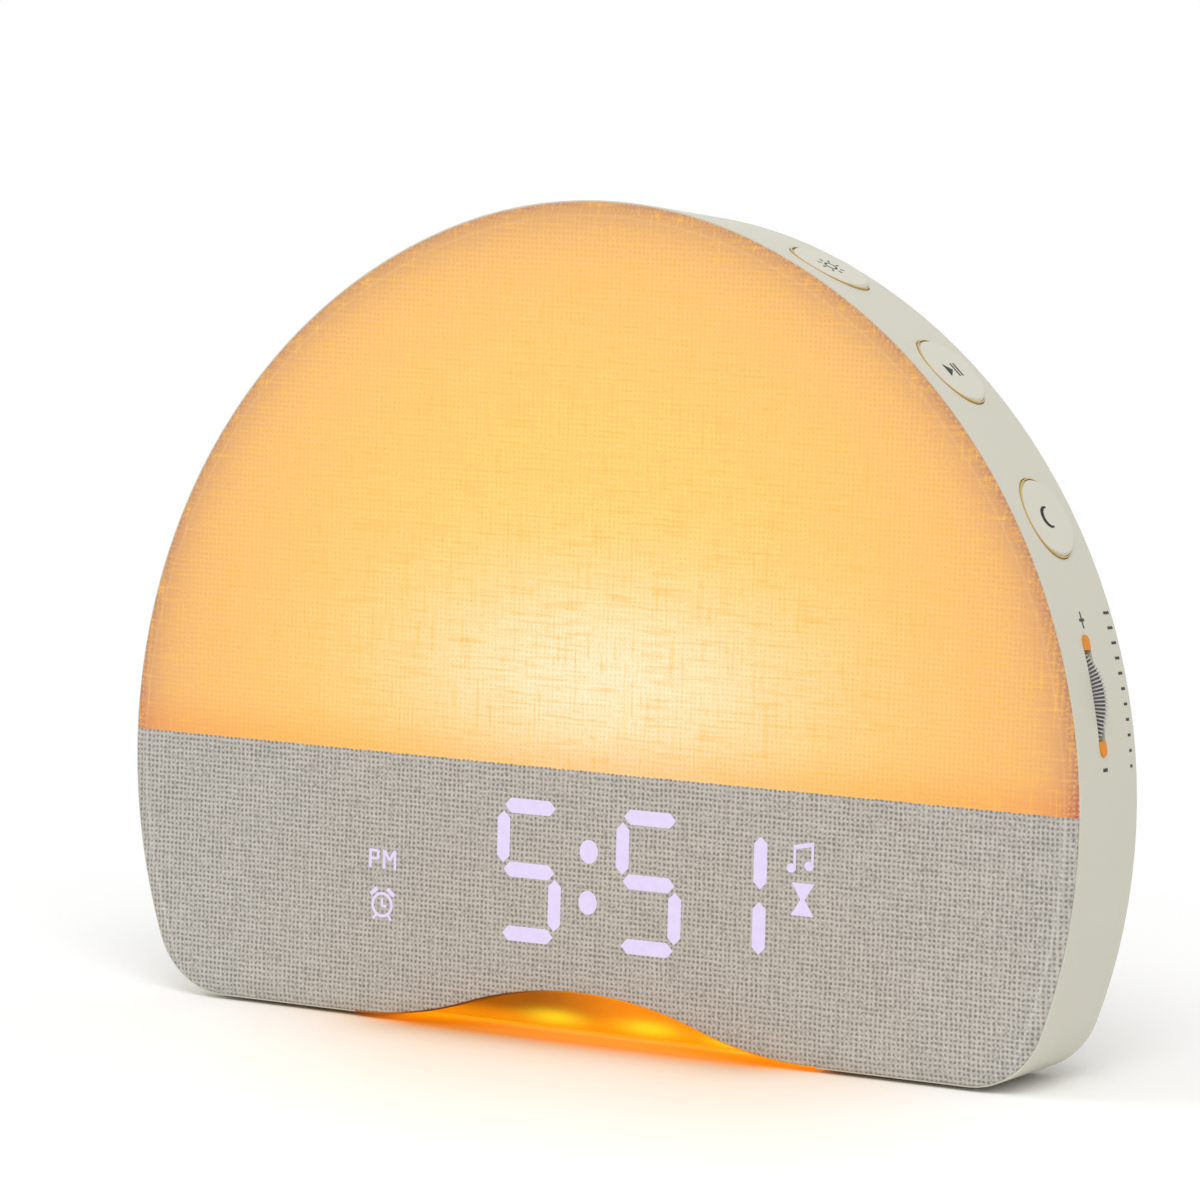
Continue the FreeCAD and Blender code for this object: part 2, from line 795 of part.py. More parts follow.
def make_lamp_leds():
    half_width = lamp_led_width / 2
    half_height = lamp_led_height / 2
    front = tray_back_y - lamp_led_thickness
    solids = [box(x - half_width, x + half_width, front, tray_back_y, z - half_height, z + half_height)
              for x, z in lamp_led_points()]
    return Part.makeCompound(solids)


def make_night_light_lens():
    """Amber lens in the arch: a roof that thins to a lip at the cloth, a back wall and a flange."""
    front = frame_back_y + fit_gap
    back = rim_y + lens_setback + lens_wall
    lens = ogee_block(lens_wall, front, back, base_z)
    lens = lens.fuse(ogee_block(lens_lip, frame_y, back, base_z))
    lens = lens.cut(ogee_block(0, frame_y - 1, back - lens_wall, base_z - 1))
    floor = base_z + case_wall
    flange_front = frame_back_y + case_ledge_thickness + fit_gap
    reach = arch_half_width + lens_flange
    flange = box(-reach, reach, flange_front, back + lens_flange, floor, floor + lens_flange_thickness)
    flange = flange.cut(ogee_block(0, front - 1, back - lens_wall, base_z - 1))
    return lens.fuse(flange).removeSplitter()


def night_board_y():
    return rim_y + lens_setback + lens_wall + night_led_thickness + 0.3


def make_night_light_board():
    half = night_board_width / 2
    floor = base_z + case_wall + lens_flange_thickness
    front = night_board_y()
    return box(-half, half, front, front + night_board_thickness, floor, floor + night_board_height)


def make_night_light_leds():
    solids = []
    middle = (night_led_count - 1) / 2
    centre_z = base_z + case_wall + lens_flange_thickness + night_board_height / 2
    for index in range(night_led_count):
        x = (index - middle) * night_led_pitch
        solids.append(box(x - night_led_width / 2, x + night_led_width / 2, night_board_y() - night_led_thickness,
                          night_board_y(), centre_z - night_led_height / 2, centre_z + night_led_height / 2))
    return Part.makeCompound(solids)


def make_button(seat):
    """A round cap with a softened rim, a flange that keeps it in and a stem to the switch."""
    cap = rod(button_radius, button_depth + button_proud, seat.at(-button_proud), seat.inward)
    top = [e for e in cap.Edges if (e.CenterOfMass - seat.at(-button_proud)).Length < 0.01]
    cap = cap.makeChamfer(button_edge, top)
    flange = rod(button_radius + button_flange, button_flange_thickness, seat.at(button_depth), seat.inward)
    stem = rod(button_stem_radius, button_stem_length, seat.at(flange_depth), seat.inward)
    return cap.fuse(flange).fuse(stem).removeSplitter()


def make_switch_plunger(seat):
    length = switch_plunger_proud + switch_plunger_hidden
    return rod(switch_plunger_radius, length, seat.at(stem_depth), seat.inward)


def make_button_switches():
    """The three switch housings, each with a well for its plunger."""
    well = switch_plunger_hidden + button_travel + 0.3
    solids = []
    for seat in button_seats:
        body = square_on(seat.at(switch_depth), seat.along, Y_AXIS, seat.inward, switch_side, switch_side,
                         switch_height)
        hole = rod(switch_plunger_radius + switch_plunger_clearance, well, seat.at(switch_depth), seat.inward)
        solids.append(body.cut(hole))
    return Part.makeCompound(solids)


def make_switch_boards():
    solids = []
    for seat in button_seats:
        solids.append(square_on(seat.at(switch_board_depth), seat.along, Y_AXIS, seat.inward, switch_board_length,
                                switch_board_width, switch_board_thickness))
    return Part.makeCompound(solids)


def make_button_bracket():
    """A faceted strip behind the three switch boards, screwed to a pad of the case at each end."""
    angles = [bracket_pad_angles[0], *button_angles, bracket_pad_angles[1]]
    seats = [pad_seat(angle) for angle in angles]
    flats = []
    lengths = [bracket_end_flat, bracket_flat, bracket_flat, bracket_flat, bracket_end_flat]
    for seat, length in zip(seats, lengths):
        half = length / 2
        flats.append((seat.at(bracket_depth) + seat.along * half, seat.at(bracket_depth) - seat.along * half,
                      seat.inward))
    outer = []
    inner = []
    for start, end, inward in flats:
        outer += [start, end]
        inner += [start + inward * bracket_thickness, end + inward * bracket_thickness]
    front = bracket_width / 2
    loop = [p - Y_AXIS * front for p in outer + inner[::-1] + outer[:1]]
    strip = Part.Face(Part.makePolygon(loop)).extrude(Y_AXIS * bracket_width)
    for angle in bracket_pad_angles:
        seat = pad_seat(angle)
        strip = strip.cut(rod(screw_radius + hole_clearance, 8, seat.at(bracket_depth - 2), seat.inward))
    return strip


def make_bracket_screws():
    solids = []
    for angle in bracket_pad_angles:
        seat = pad_seat(angle)
        length = bracket_depth + bracket_thickness - case_wall - 2.5
        solids.append(screw(seat.at(bracket_depth + bracket_thickness), seat.inward * -1, length))
    return Part.makeCompound(solids)


def make_dial_wheel():
    """The ribbed thumbwheel, with a hub that keeps it off the cheeks."""
    start_y = dial_centre.y - dial_thickness / 2
    points = []
    turn = 360 / dial_ribs
    root_radius = dial_radius - dial_rib_depth
    for index in range(dial_ribs):
        points.append(around(dial_centre.x, dial_centre.z, dial_radius, index * turn, start_y))
        points.append(around(dial_centre.x, dial_centre.z, root_radius, (index + 0.5) * turn, start_y))
    points.append(points[0])
    wheel = Part.Face(Part.makePolygon(points)).extrude(Vector(0, dial_thickness, 0))
    hub_length = dial_thickness + 2 * dial_hub_proud
    hub_start = Vector(dial_centre.x, dial_centre.y - hub_length / 2, dial_centre.z)
    wheel = wheel.fuse(rod(dial_hub_radius, hub_length, hub_start, Y_AXIS))
    return wheel.cut(rod(axle_radius, hub_length + 2, hub_start - Y_AXIS, Y_AXIS))


def axle_ends():
    inner = dial_thickness / 2 + dial_hub_proud + 0.1
    return inner, inner + cheek_thickness


def make_dial_axle():
    front, back = axle_ends()
    start = Vector(dial_centre.x, dial_centre.y - back, dial_centre.z)
    return rod(axle_radius, back * 2 + encoder_depth / 2, start, Y_AXIS)


def make_dial_bracket():
    """Two cheeks that carry the axle, joined by a bridge behind the wheel and footed on the case wall."""
    near, far = axle_ends()
    room = dial_radius + 1.2
    cheeks = []
    for side in (-1, 1):
        y = dial_centre.y + (near if side > 0 else -far)
        centre = Vector(dial_centre.x, y, dial_centre.z)
        outer = dial_seat.inward * -1
        reach = dial_radius - dial_proud - dial_pad_wall - cheek_clearance
        face = square_on(centre + outer * ((reach - room - bracket_thickness) / 2), outer, dial_seat.along, Y_AXIS,
                         reach + room + bracket_thickness, cheek_width, cheek_thickness)
        cheeks.append(face)
    bridge_centre = Vector(dial_centre.x, dial_centre.y - far, dial_centre.z) + dial_seat.inward * (
        room + bracket_thickness / 2)
    bridge = square_on(bridge_centre, dial_seat.inward, dial_seat.along, Y_AXIS, bracket_thickness, cheek_width,
                       far * 2)
    bracket = cheeks[0].fuse(cheeks[1]).fuse(bridge)
    hole_start = Vector(dial_centre.x, dial_centre.y - far - 1, dial_centre.z)
    return bracket.cut(rod(axle_radius + axle_clearance, far * 2 + 2, hole_start, Y_AXIS)).removeSplitter()


def make_dial_encoder():
    """The encoder on the rear cheek, with a blind bore for the axle's end."""
    start = Vector(dial_centre.x, dial_centre.y + axle_ends()[1], dial_centre.z)
    body = square_on(start, dial_seat.inward, dial_seat.along, Y_AXIS, encoder_side, encoder_side, encoder_depth)
    return body.cut(rod(axle_radius + axle_clearance, encoder_depth / 2 + 0.3, start, Y_AXIS))


def make_rear_cover():
    """The back: a plate that closes the rim and a rounded box with speaker slots, pierced for the inlet."""
    inset = rim_taper + cover_inset
    plate = arch_block(inset, rear_y, rear_y + cover_plate, base_z, foot_corner_radius)
    plate = plate.makeChamfer(cover_edge_bevel, edges_on_plane(plate, rear_y + cover_plate))
    bulge = arch_block(bulge_inset, rear_y, back_y, base_z, bulge_corner)
    bulge = bulge.makeChamfer(bulge_edge, edges_on_plane(bulge, back_y))
    hollow_inset = bulge_inset + cover_wall
    hollow = arch_block(hollow_inset, rear_y - 1, cover_face_y, base_z + cover_wall, bulge_corner - cover_wall)
    hollow = hollow.makeChamfer(bulge_edge - cover_wall, edges_on_plane(hollow, cover_face_y))
    lip_inset = rim_taper + case_wall + fit_gap
    lip_floor = base_z + case_wall + fit_gap
    lip = arch_block(lip_inset, rear_y - cover_lip_depth, rear_y, lip_floor, foot_corner_radius - case_wall)
    lip = lip.cut(arch_block(lip_inset + cover_lip_wall, rear_y - cover_lip_depth - 1, rear_y + 1,
                             lip_floor + cover_lip_wall, foot_corner_radius - case_wall - cover_lip_wall))
    for point in cover_screw_points(rear_y - cover_lip_depth - 1):
        lip = lip.cut(rod(cover_boss_radius + fit_gap, cover_lip_depth + 1, point, Y_AXIS))
    cover = plate.fuse(bulge).cut(hollow).fuse(lip)
    for post in main_boss_posts():
        cover = cover.fuse(post)
    for point in speaker_screw_points(cover_face_y - speaker_gasket):
        cover = cover.fuse(rod(speaker_ear_radius - 0.4, speaker_gasket + 0.5, point, Y_AXIS))
    for point in cover_screw_points(rear_y - 1):
        cover = cover.cut(rod(screw_radius + hole_clearance, cover_plate + 2, point, Y_AXIS))
    for point in main_screw_points(main_board_back_y()):
        cover = cover.cut(rod(screw_radius + screw_clearance, main_board_setback - 1, point, Y_AXIS))
    for point in speaker_screw_points(cover_face_y - speaker_gasket - 1):
        cover = cover.cut(rod(screw_radius + screw_clearance, speaker_gasket + 2, point, Y_AXIS))
    cover = cover.cut(grille_slots())
    cover = cover.cut(stadium(inlet_width + 2 * inlet_gap, inlet_height + 2 * inlet_gap, cover_wall + 2,
                              Vector(inlet_offset, cover_face_y - 1, inlet_z()), X_AXIS, Y_AXIS))
    for point in foot_points()[1]:
        cover = cover.cut(rod(foot_radius + fit_gap, foot_recess, Vector(point.x, point.y, base_z), Z_AXIS))
    return cover.removeSplitter()


def grille_slots():
    """Level slots whose lengths follow a circle over the speaker."""
    slots = []
    rows = int(grille_radius / grille_pitch)
    for row in range(-rows, rows + 1):
        rise = row * grille_pitch
        length = 2 * math.sqrt(grille_radius ** 2 - rise ** 2) + grille_slot
        start = Vector(0, cover_face_y - 1, base_z + speaker_height + rise)
        slots.append(stadium(length, grille_slot, cover_wall + 2, start, X_AXIS, Y_AXIS))
    return slots


def main_board_back_y():
    return cover_face_y - main_board_setback


def main_board_front_y():
    return main_board_back_y() - main_board_thickness


def main_screw_points(y):
    reach = main_board_width / 2 - main_boss_margin
    low = base_z + main_board_floor + main_boss_margin
    high = base_z + main_board_floor + main_board_height - main_boss_margin
    return mirrored([Vector(reach, y, low), Vector(reach, y, high)])


def main_boss_posts():
    length = main_board_setback + 0.5
    return [rod(main_boss_radius, length, point, Y_AXIS) for point in main_screw_points(main_board_back_y())]


def make_main_board():
    half = main_board_width / 2
    floor = base_z + main_board_floor
    board = box(-half, half, main_board_front_y(), main_board_back_y(), floor, floor + main_board_height)
    holes = [rod(screw_radius + hole_clearance, main_board_thickness + 2, point, Y_AXIS)
             for point in main_screw_points(main_board_front_y() - 1)]
    return board.cut(holes)


def make_main_board_screws():
    length = main_board_thickness + main_board_setback - 2
    return Part.makeCompound([screw(point, Y_AXIS, length) for point in main_screw_points(main_board_front_y())])


def inlet_z():
    return base_z + main_board_floor + main_board_height / 4


def make_power_inlet():
    """The metal shell of the power socket, standing on the board and level with the cover's back."""
    start = Vector(inlet_offset, main_board_back_y(), inlet_z())
    length = main_board_setback + cover_wall - 0.6
    outer = stadium(inlet_width, inlet_height, length, start, X_AXIS, Y_AXIS)
    inner = stadium(inlet_width - 2 * inlet_wall, inlet_height - 2 * inlet_wall, length, start + Y_AXIS * 1.2,
                    X_AXIS, Y_AXIS)
    return outer.cut(inner)


def make_inlet_tongue():
    start = main_board_back_y() + 1.2
    half = tongue_width / 2
    middle = inlet_z()
    return box(inlet_offset - half, inlet_offset + half, start, start + main_board_setback - 1,
               middle - tongue_thickness / 2, middle + tongue_thickness / 2)


def make_board_chips():
    """The packages on the front of the main board: controller, memory, amplifier and clock crystal."""
    front = main_board_front_y()
    middle = base_z + main_board_floor + main_board_height / 2
    return Part.makeCompound([box(x - w / 2, x + w / 2, front - t, front, middle + z - h / 2, middle + z + h / 2)
                              for x, z, w, h, t in chips])


def make_board_capacitors():
    front = main_board_front_y()
    middle = base_z + main_board_floor + main_board_height / 2
    return Part.makeCompound([prism(r, h, Vector(x, front, middle + z), Y_AXIS * -1, capacitor_sides)
                              for x, z, r, h in capacitors])


def make_board_connectors():
    """White headers for the leads to the lamp, display, speaker, buttons and dial."""
    front = main_board_front_y()
    top = base_z + main_board_floor + main_board_height - connector_setback
    low = top - connector_height
    wall = connector_wall
    row = main_board_width - connector_left_margin - connector_right_margin
    free = row - sum(width for width, share in connectors)
    shares = sum(share for width, share in connectors)
    left = connector_left_margin - main_board_width / 2
    solids = []
    for width, share in connectors:
        left += free * share / shares
        right = left + width
        shell = box(left, right, front - connector_depth, front, low, top)
        well = box(left + wall, right - wall, front - connector_depth - 1, front - wall, low + wall, top - wall)
        solids.append(shell.cut(well))
        left = right
    return Part.makeCompound(solids)


def speaker_screw_points(y):
    return [around(0, base_z + speaker_height, speaker_ear_reach, angle, y) for angle in (45, 135, 225, 315)]


def revolved(points):
    """A ring about the speaker's axis, from a profile of radius and depth inward from the flange's face."""
    face_y = cover_face_y - speaker_gasket
    centre = Vector(0, 0, base_z + speaker_height)
    loop = [Vector(r, face_y - d, base_z + speaker_height) for r, d in points + points[:1]]
    return Part.Face(Part.makePolygon(loop)).revolve(centre, Y_AXIS, 360)


def make_speaker_frame():
    """The basket: a flange with four ears, a sloped wall with four windows and a seat for the magnet."""
    t = speaker_flange
    wall = speaker_basket_wall
    depth = speaker_basket_depth
    profile = [
        (cone_radius + 2 * surround_radius, 0), (speaker_radius, 0), (speaker_radius, t),
        (cone_radius + 2 * surround_radius + wall, t), (magnet_radius + 1 + wall, depth),
        (coil_radius + 1, depth), (coil_radius + 1, depth - wall), (magnet_radius + 1, depth - wall),
        (cone_radius + 2 * surround_radius, t),
    ]
    frame = revolved(profile)
    for point in speaker_screw_points(cover_face_y - speaker_gasket - t):
        frame = frame.fuse(rod(speaker_ear_radius, t, point, Y_AXIS))
    inner = revolved([(0, -1), (cone_radius + 2 * surround_radius, -1), (cone_radius + 2 * surround_radius, t),
                      (magnet_radius + 1, depth - wall), (0, depth - wall)])
    frame = frame.cut(inner)
    for point in speaker_screw_points(cover_face_y - speaker_gasket - t - 1):
        frame = frame.cut(rod(screw_radius + hole_clearance, t + 2, point, Y_AXIS))
    middle_y = cover_face_y - speaker_gasket - (t + depth - wall) / 2
    for angle in (0, 90, 180, 270):
        start = around(0, base_z + speaker_height, magnet_radius, angle, middle_y)
        outward = around(0, 0, 1, angle, 0)
        frame = frame.cut(square_on(start, outward.cross(Y_AXIS), Y_AXIS, outward, basket_window_width,
                                    basket_window_depth, speaker_radius - magnet_radius))
    return frame.removeSplitter()


def make_speaker_magnet():
    face_y = cover_face_y - speaker_gasket - speaker_basket_depth
    start = Vector(0, face_y - magnet_depth, base_z + speaker_height)
    magnet = rod(magnet_radius, magnet_depth, start, Y_AXIS)
    return magnet.fuse(rod(pole_radius, magnet_depth + pole_rise, start, Y_AXIS)).removeSplitter()


def make_speaker_cone():
    """The paper cone with its coil end and its dust cap, as one thin revolved skin."""
    w = cone_wall
    deep = speaker_flange + cone_depth
    profile = [
        (cone_radius, cone_rim), (coil_radius, deep - coil_length + w), (coil_radius, deep), (coil_radius - w, deep),
        (coil_radius - w, deep - coil_length - w), (0, deep - coil_length - dust_cap_rise - w),
        (0, deep - coil_length - dust_cap_rise - 2 * w), (coil_radius, deep - coil_length - w),
        (cone_radius, cone_rim - w),
    ]
    return revolved(profile)


def make_speaker_surround():
    """The rubber roll between the cone and the flange, with a bevelled section."""
    start = cone_radius + surround_gap
    end = cone_radius + 2 * surround_radius - surround_gap
    bevel = surround_radius / 2
    rise = surround_radius * 0.6
    w = surround_wall
    top = [(start, cone_rim), (start + bevel, cone_rim + rise), (end - bevel, cone_rim + rise), (end, cone_rim)]
    under = [(end, cone_rim - w), (end - bevel, cone_rim + rise - w), (start + bevel, cone_rim + rise - w),
             (start, cone_rim - w)]
    return revolved(top + under)


def make_speaker_gasket():
    outer = rod(speaker_radius - 0.2, speaker_gasket, Vector(0, cover_face_y - speaker_gasket,
                                                           base_z + speaker_height), Y_AXIS)
    inner = rod(cone_radius + 2 * surround_radius, speaker_gasket, Vector(0, cover_face_y - speaker_gasket,
                                                                    base_z + speaker_height), Y_AXIS)
    ring = outer.cut(inner)
    for point in speaker_screw_points(cover_face_y - speaker_gasket):
        ring = ring.cut(rod(speaker_ear_radius - 0.2, speaker_gasket, point, Y_AXIS))
    return ring


def make_speaker_screws():
    seats = speaker_screw_points(cover_face_y - speaker_gasket - speaker_flange)
    length = speaker_flange + speaker_gasket + 0.6
    return Part.makeCompound([screw(point, Y_AXIS, length) for point in seats])


def make_rear_cover_screws():
    seats = cover_screw_points(rear_y + cover_plate)
    length = cover_plate + cover_boss_length - 1.6
    return Part.makeCompound([screw(point, Y_AXIS * -1, length) for point in seats])


def make_rubber_feet():
    front, rear = foot_points()
    feet = []
    for point in front + rear:
        foot = rod(foot_radius, foot_proud + foot_recess, Vector(point.x, point.y, 0), Z_AXIS)
        rim = [e for e in foot.Edges if (e.CenterOfMass - Vector(point.x, point.y, 0)).Length < 0.01]
        feet.append(foot.makeChamfer(foot_edge, rim))
    return Part.makeCompound(feet)


single_pieces = {
    "case_shell": make_case_shell,
    "rear_cover": make_rear_cover,
    "front_frame": make_front_frame,
    "front_fabric": make_front_fabric,
    "light_diffuser": make_light_diffuser,
    "light_baffle": make_light_baffle,
    "reflector_tray": make_reflector_tray,
    "lamp_board": make_lamp_board,
    "lamp_leds": make_lamp_leds,
    "display_plate": make_display_plate,
    "segment_block": make_segment_block,
    "lit_segments": make_lit_segments,
    "display_leds": make_display_leds,
    "display_board": make_display_board,
    "display_screws": make_display_screws,
    "night_light_lens": make_night_light_lens,
    "night_light_board": make_night_light_board,
    "night_light_leds": make_night_light_leds,
    "button_switches": make_button_switches,
    "switch_boards": make_switch_boards,
    "button_bracket": make_button_bracket,
    "bracket_screws": make_bracket_screws,
    "dial_wheel": make_dial_wheel,
    "dial_axle": make_dial_axle,
    "dial_bracket": make_dial_bracket,
    "dial_encoder": make_dial_encoder,
    "dial_insert": make_dial_insert,
    "main_board": make_main_board,
    "board_chips": make_board_chips,
    "board_capacitors": make_board_capacitors,
    "board_connectors": make_board_connectors,
    "main_board_screws": make_main_board_screws,
    "power_inlet": make_power_inlet,
    "inlet_tongue": make_inlet_tongue,
    "speaker_frame": make_speaker_frame,
    "speaker_magnet": make_speaker_magnet,
    "speaker_cone": make_speaker_cone,
    "speaker_surround": make_speaker_surround,
    "speaker_gasket": make_speaker_gasket,
    "speaker_screws": make_speaker_screws,
    "rear_cover_screws": make_rear_cover_screws,
    "rubber_feet": make_rubber_feet,
}

for piece_name, make_piece in single_pieces.items():
    export(piece_name, make_piece())

for button_name, button_seat in zip(button_names, button_seats):
    export(button_name + "_button", make_button(button_seat))
    export(button_name + "_switch_plunger", make_switch_plunger(button_seat))
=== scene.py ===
"""Sunrise alarm clock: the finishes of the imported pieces, the pieces modelled over them, and a stage."""

import json
import math

import bmesh
import bpy
from mathutils import Matrix, Vector


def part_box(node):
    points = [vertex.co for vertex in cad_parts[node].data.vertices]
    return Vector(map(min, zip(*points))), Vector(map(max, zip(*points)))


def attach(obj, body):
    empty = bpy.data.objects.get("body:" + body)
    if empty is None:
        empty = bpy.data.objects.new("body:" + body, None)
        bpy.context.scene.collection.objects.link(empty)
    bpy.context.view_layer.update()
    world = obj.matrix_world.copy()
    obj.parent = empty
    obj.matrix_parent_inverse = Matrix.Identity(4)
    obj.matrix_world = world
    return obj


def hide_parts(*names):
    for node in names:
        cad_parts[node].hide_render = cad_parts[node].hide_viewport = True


bl_info = {
    "name": "Sunrise Alarm Clock",
    "version": (1, 0, 0),
    "blender": (4, 5, 0),
    "location": "3D View > Sidebar > Clock",
    "description": "Builds a cloth-fronted sunrise alarm clock round its packed frame",
    "category": "Add Mesh",
}

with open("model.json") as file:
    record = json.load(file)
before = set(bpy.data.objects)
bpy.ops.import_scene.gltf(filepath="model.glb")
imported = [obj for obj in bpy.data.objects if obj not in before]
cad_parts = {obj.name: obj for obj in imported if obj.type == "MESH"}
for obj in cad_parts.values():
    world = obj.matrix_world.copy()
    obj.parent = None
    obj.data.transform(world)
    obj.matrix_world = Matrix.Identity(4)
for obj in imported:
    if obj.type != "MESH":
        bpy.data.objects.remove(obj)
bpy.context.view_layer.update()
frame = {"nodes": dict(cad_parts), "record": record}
MM = 0.001
X_AXIS = Vector((1, 0, 0))
Y_AXIS = Vector((0, 1, 0))
Z_AXIS = Vector((0, 0, 1))


def length_property(label, value, text):
    """A size in millimetres, kept in metres."""
    return bpy.props.FloatProperty(
        name=label, description=text, default=value * MM, unit="LENGTH", precision=5
    )


def angle_property(label, value, text):
    """An angle in degrees, kept in radians."""
    return bpy.props.FloatProperty(
        name=label, description=text, default=math.radians(value), subtype="ANGLE"
    )


def colour_property(label, value, text):
    return bpy.props.FloatVectorProperty(
        name=label, description=text, default=value, subtype="COLOR", size=3, min=0.0, max=1.0
    )


class ClockOutline(bpy.types.PropertyGroup):
    """The arch outline of the case, as arcs that run into each other."""

    crown_radius: length_property("Crown radius", 90.6, "Radius of the crown arc")
    side_radius: length_property("Side radius", 105.5, "Radius of each side arc")
    join_angle: angle_property("Join angle", 68.5, "Where the side arc turns into the crown arc")
    foot_radius: length_property("Foot corner", 15.1, "Radius of the two lower corners")
    base_height: length_property("Base height", 0.8, "Height of the case's flat base over the ground")
    case_height: length_property("Case height", 150.4, "Height of the case over its base")
    seam_height: length_property("Seam height", 48.5, "Height of the light and dark boundary over the base")
    arch_half_width: length_property("Arch half width", 49.0, "Half of the width of the arch in the foot")
    arch_height: length_property("Arch height", 8.2, "Height of the arch over the base")
    rim_depth: length_property("Rim depth", 25.0, "Depth of the rim from lip to rear cover")
    rim_taper: length_property("Rim taper", 2.4, "How far the rim draws in toward the back")


class ClockCloth(bpy.types.PropertyGroup):
    """The woven front."""

    edge_inset: length_property("Edge inset", 0.3, "Distance from the rim's edge to the cloth's edge")
    band_width: length_property("Band width", 2.2, "Width of the sloping band round the cloth")
    band_depth: length_property("Band depth", 0.5, "How far the band slopes back")
    wall_depth: length_property("Wall depth", 0.26, "How far the cloth folds back over the rim's lip")
    fold_rounding: length_property("Fold rounding", 0.2, "Rounding where the cloth folds back")
    crease_rounding: length_property("Crease rounding", 0.35, "Rounding between the flat and the band")
    thickness: length_property("Thickness", 0.3, "Thickness of the cloth")
    thread_pitch: length_property("Thread pitch", 0.94, "Distance between the gaps of the weave")
    thread: colour_property("Thread", (0.525, 0.497, 0.452), "Colour of the unlit threads")
    hole: colour_property("Hole", (0.225, 0.216, 0.196), "Colour between the unlit threads")
    # Painted light: the lamp's orange, painted into the surface colour of the cloth over the lamp
    lamp_painted_base: colour_property("Lit cloth", (0.30, 0.165, 0.06), "Surface colour of the cloth over the lamp")
    glow: colour_property("Glow", (0.566, 0.355, 0.081), "Plain light through the cloth")
    glow_height: length_property("Glow height", 65.9, "Height of the brightest place")
    glow_width: length_property("Glow width", 41.0, "Reach of the brightest place sideways")
    glow_rise: length_property("Glow rise", 18.5, "Reach of the brightest place upward")


class ClockDisplay(bpy.types.PropertyGroup):
    """The time and the small signs that glow through the cloth."""

    shift: length_property("Shift", 1.3, "How far right of the middle the colon stands")
    height: length_property("Height", 29.5, "Height of the digits' middle over the base")
    bar_pitch: length_property("Bar pitch", 11.6, "Distance between the level bars of a digit")
    bar_reach: length_property("Bar reach", 5.6, "Distance from a digit's middle to its upright bars")
    bar_length: length_property("Level bar length", 10.9, "Length of a level bar")
    bar_rise: length_property("Upright bar length", 9.4, "Length of an upright bar")
    bar_width: length_property("Bar width", 2.7, "Width of a bar")
    light: colour_property("Light", (0.76, 0.665, 0.915), "Colour of the lit signs")


class ClockSide(bpy.types.PropertyGroup):
    """Buttons, thumbwheel and printed marks on the right side of the rim."""

    button_setback: length_property("Button setback", 12.7, "Distance of the buttons behind the rim's lip")
    button_radius: length_property("Button radius", 7.4, "Radius of a button cap")
    ring_gap: length_property("Ring gap", 0.1, "Gap between a button cap and its ring")
    ring_width: length_property("Ring width", 0.24, "Width of the ring round each button cap")
    button_proud: length_property("Button proud", 0.35, "How far a cap stands proud of the rim")
    dial_angle: angle_property("Wheel angle", 12.5, "Place of the wheel along the side arc")
    dial_setback: length_property("Wheel setback", 10.8, "Distance of the wheel behind the rim's lip")
    dial_radius: length_property("Wheel radius", 12.0, "Radius of the thumbwheel")
    dial_proud: length_property("Wheel proud", 1.9, "How far the thumbwheel stands out of its slot")
    dial_thickness: length_property("Wheel thickness", 2.0, "Thickness of the thumbwheel")
    dial_shift: length_property("Wheel shift", 0.25, "How far behind its slot's middle the wheel runs")
    slot_half: length_property("Half of the slot", 10.68, "Half of the length of the wheel's slot")
    dial_ribs: bpy.props.IntProperty(
        name="Wheel ribs", description="Number of ribs round the thumbwheel", default=104, min=12
    )
    print_colour: colour_property("Print", (0.028, 0.03, 0.024), "Colour of the printed marks")
    ring_colour: colour_property("Button ring", (0.56, 0.37, 0.09), "Colour of the ring round each cap")


class ClockStage(bpy.types.PropertyGroup):
    """Camera, lamps and floor."""

    azimuth: angle_property("Azimuth", 32.435, "Camera angle to the right of the front")
    elevation: angle_property("Elevation", 4.915, "Camera angle over the horizon")
    roll: angle_property("Roll", 1.448, "Turn of the picture")
    distance: length_property("Distance", 1138.5, "Distance from the camera to its aim")
    aim_x: length_property("Aim across", 1.8, "Camera aim, across")
    aim_z: length_property("Aim height", 80.1, "Camera aim, up")
    focal_length: bpy.props.FloatProperty(
        name="Focal length", description="Lens in millimetres", default=191.57
    )
    sky: bpy.props.FloatProperty(
        name="Sky", description="Strength of the even light", default=0.72, min=0.0
    )
    floor: colour_property("Floor", (1.0, 1.0, 1.0), "Colour of the floor")
    # The night light's glow, painted on the floor
    glow: colour_property("Floor glow", (0.93, 0.58, 0.27), "Colour of the floor close to the night light")


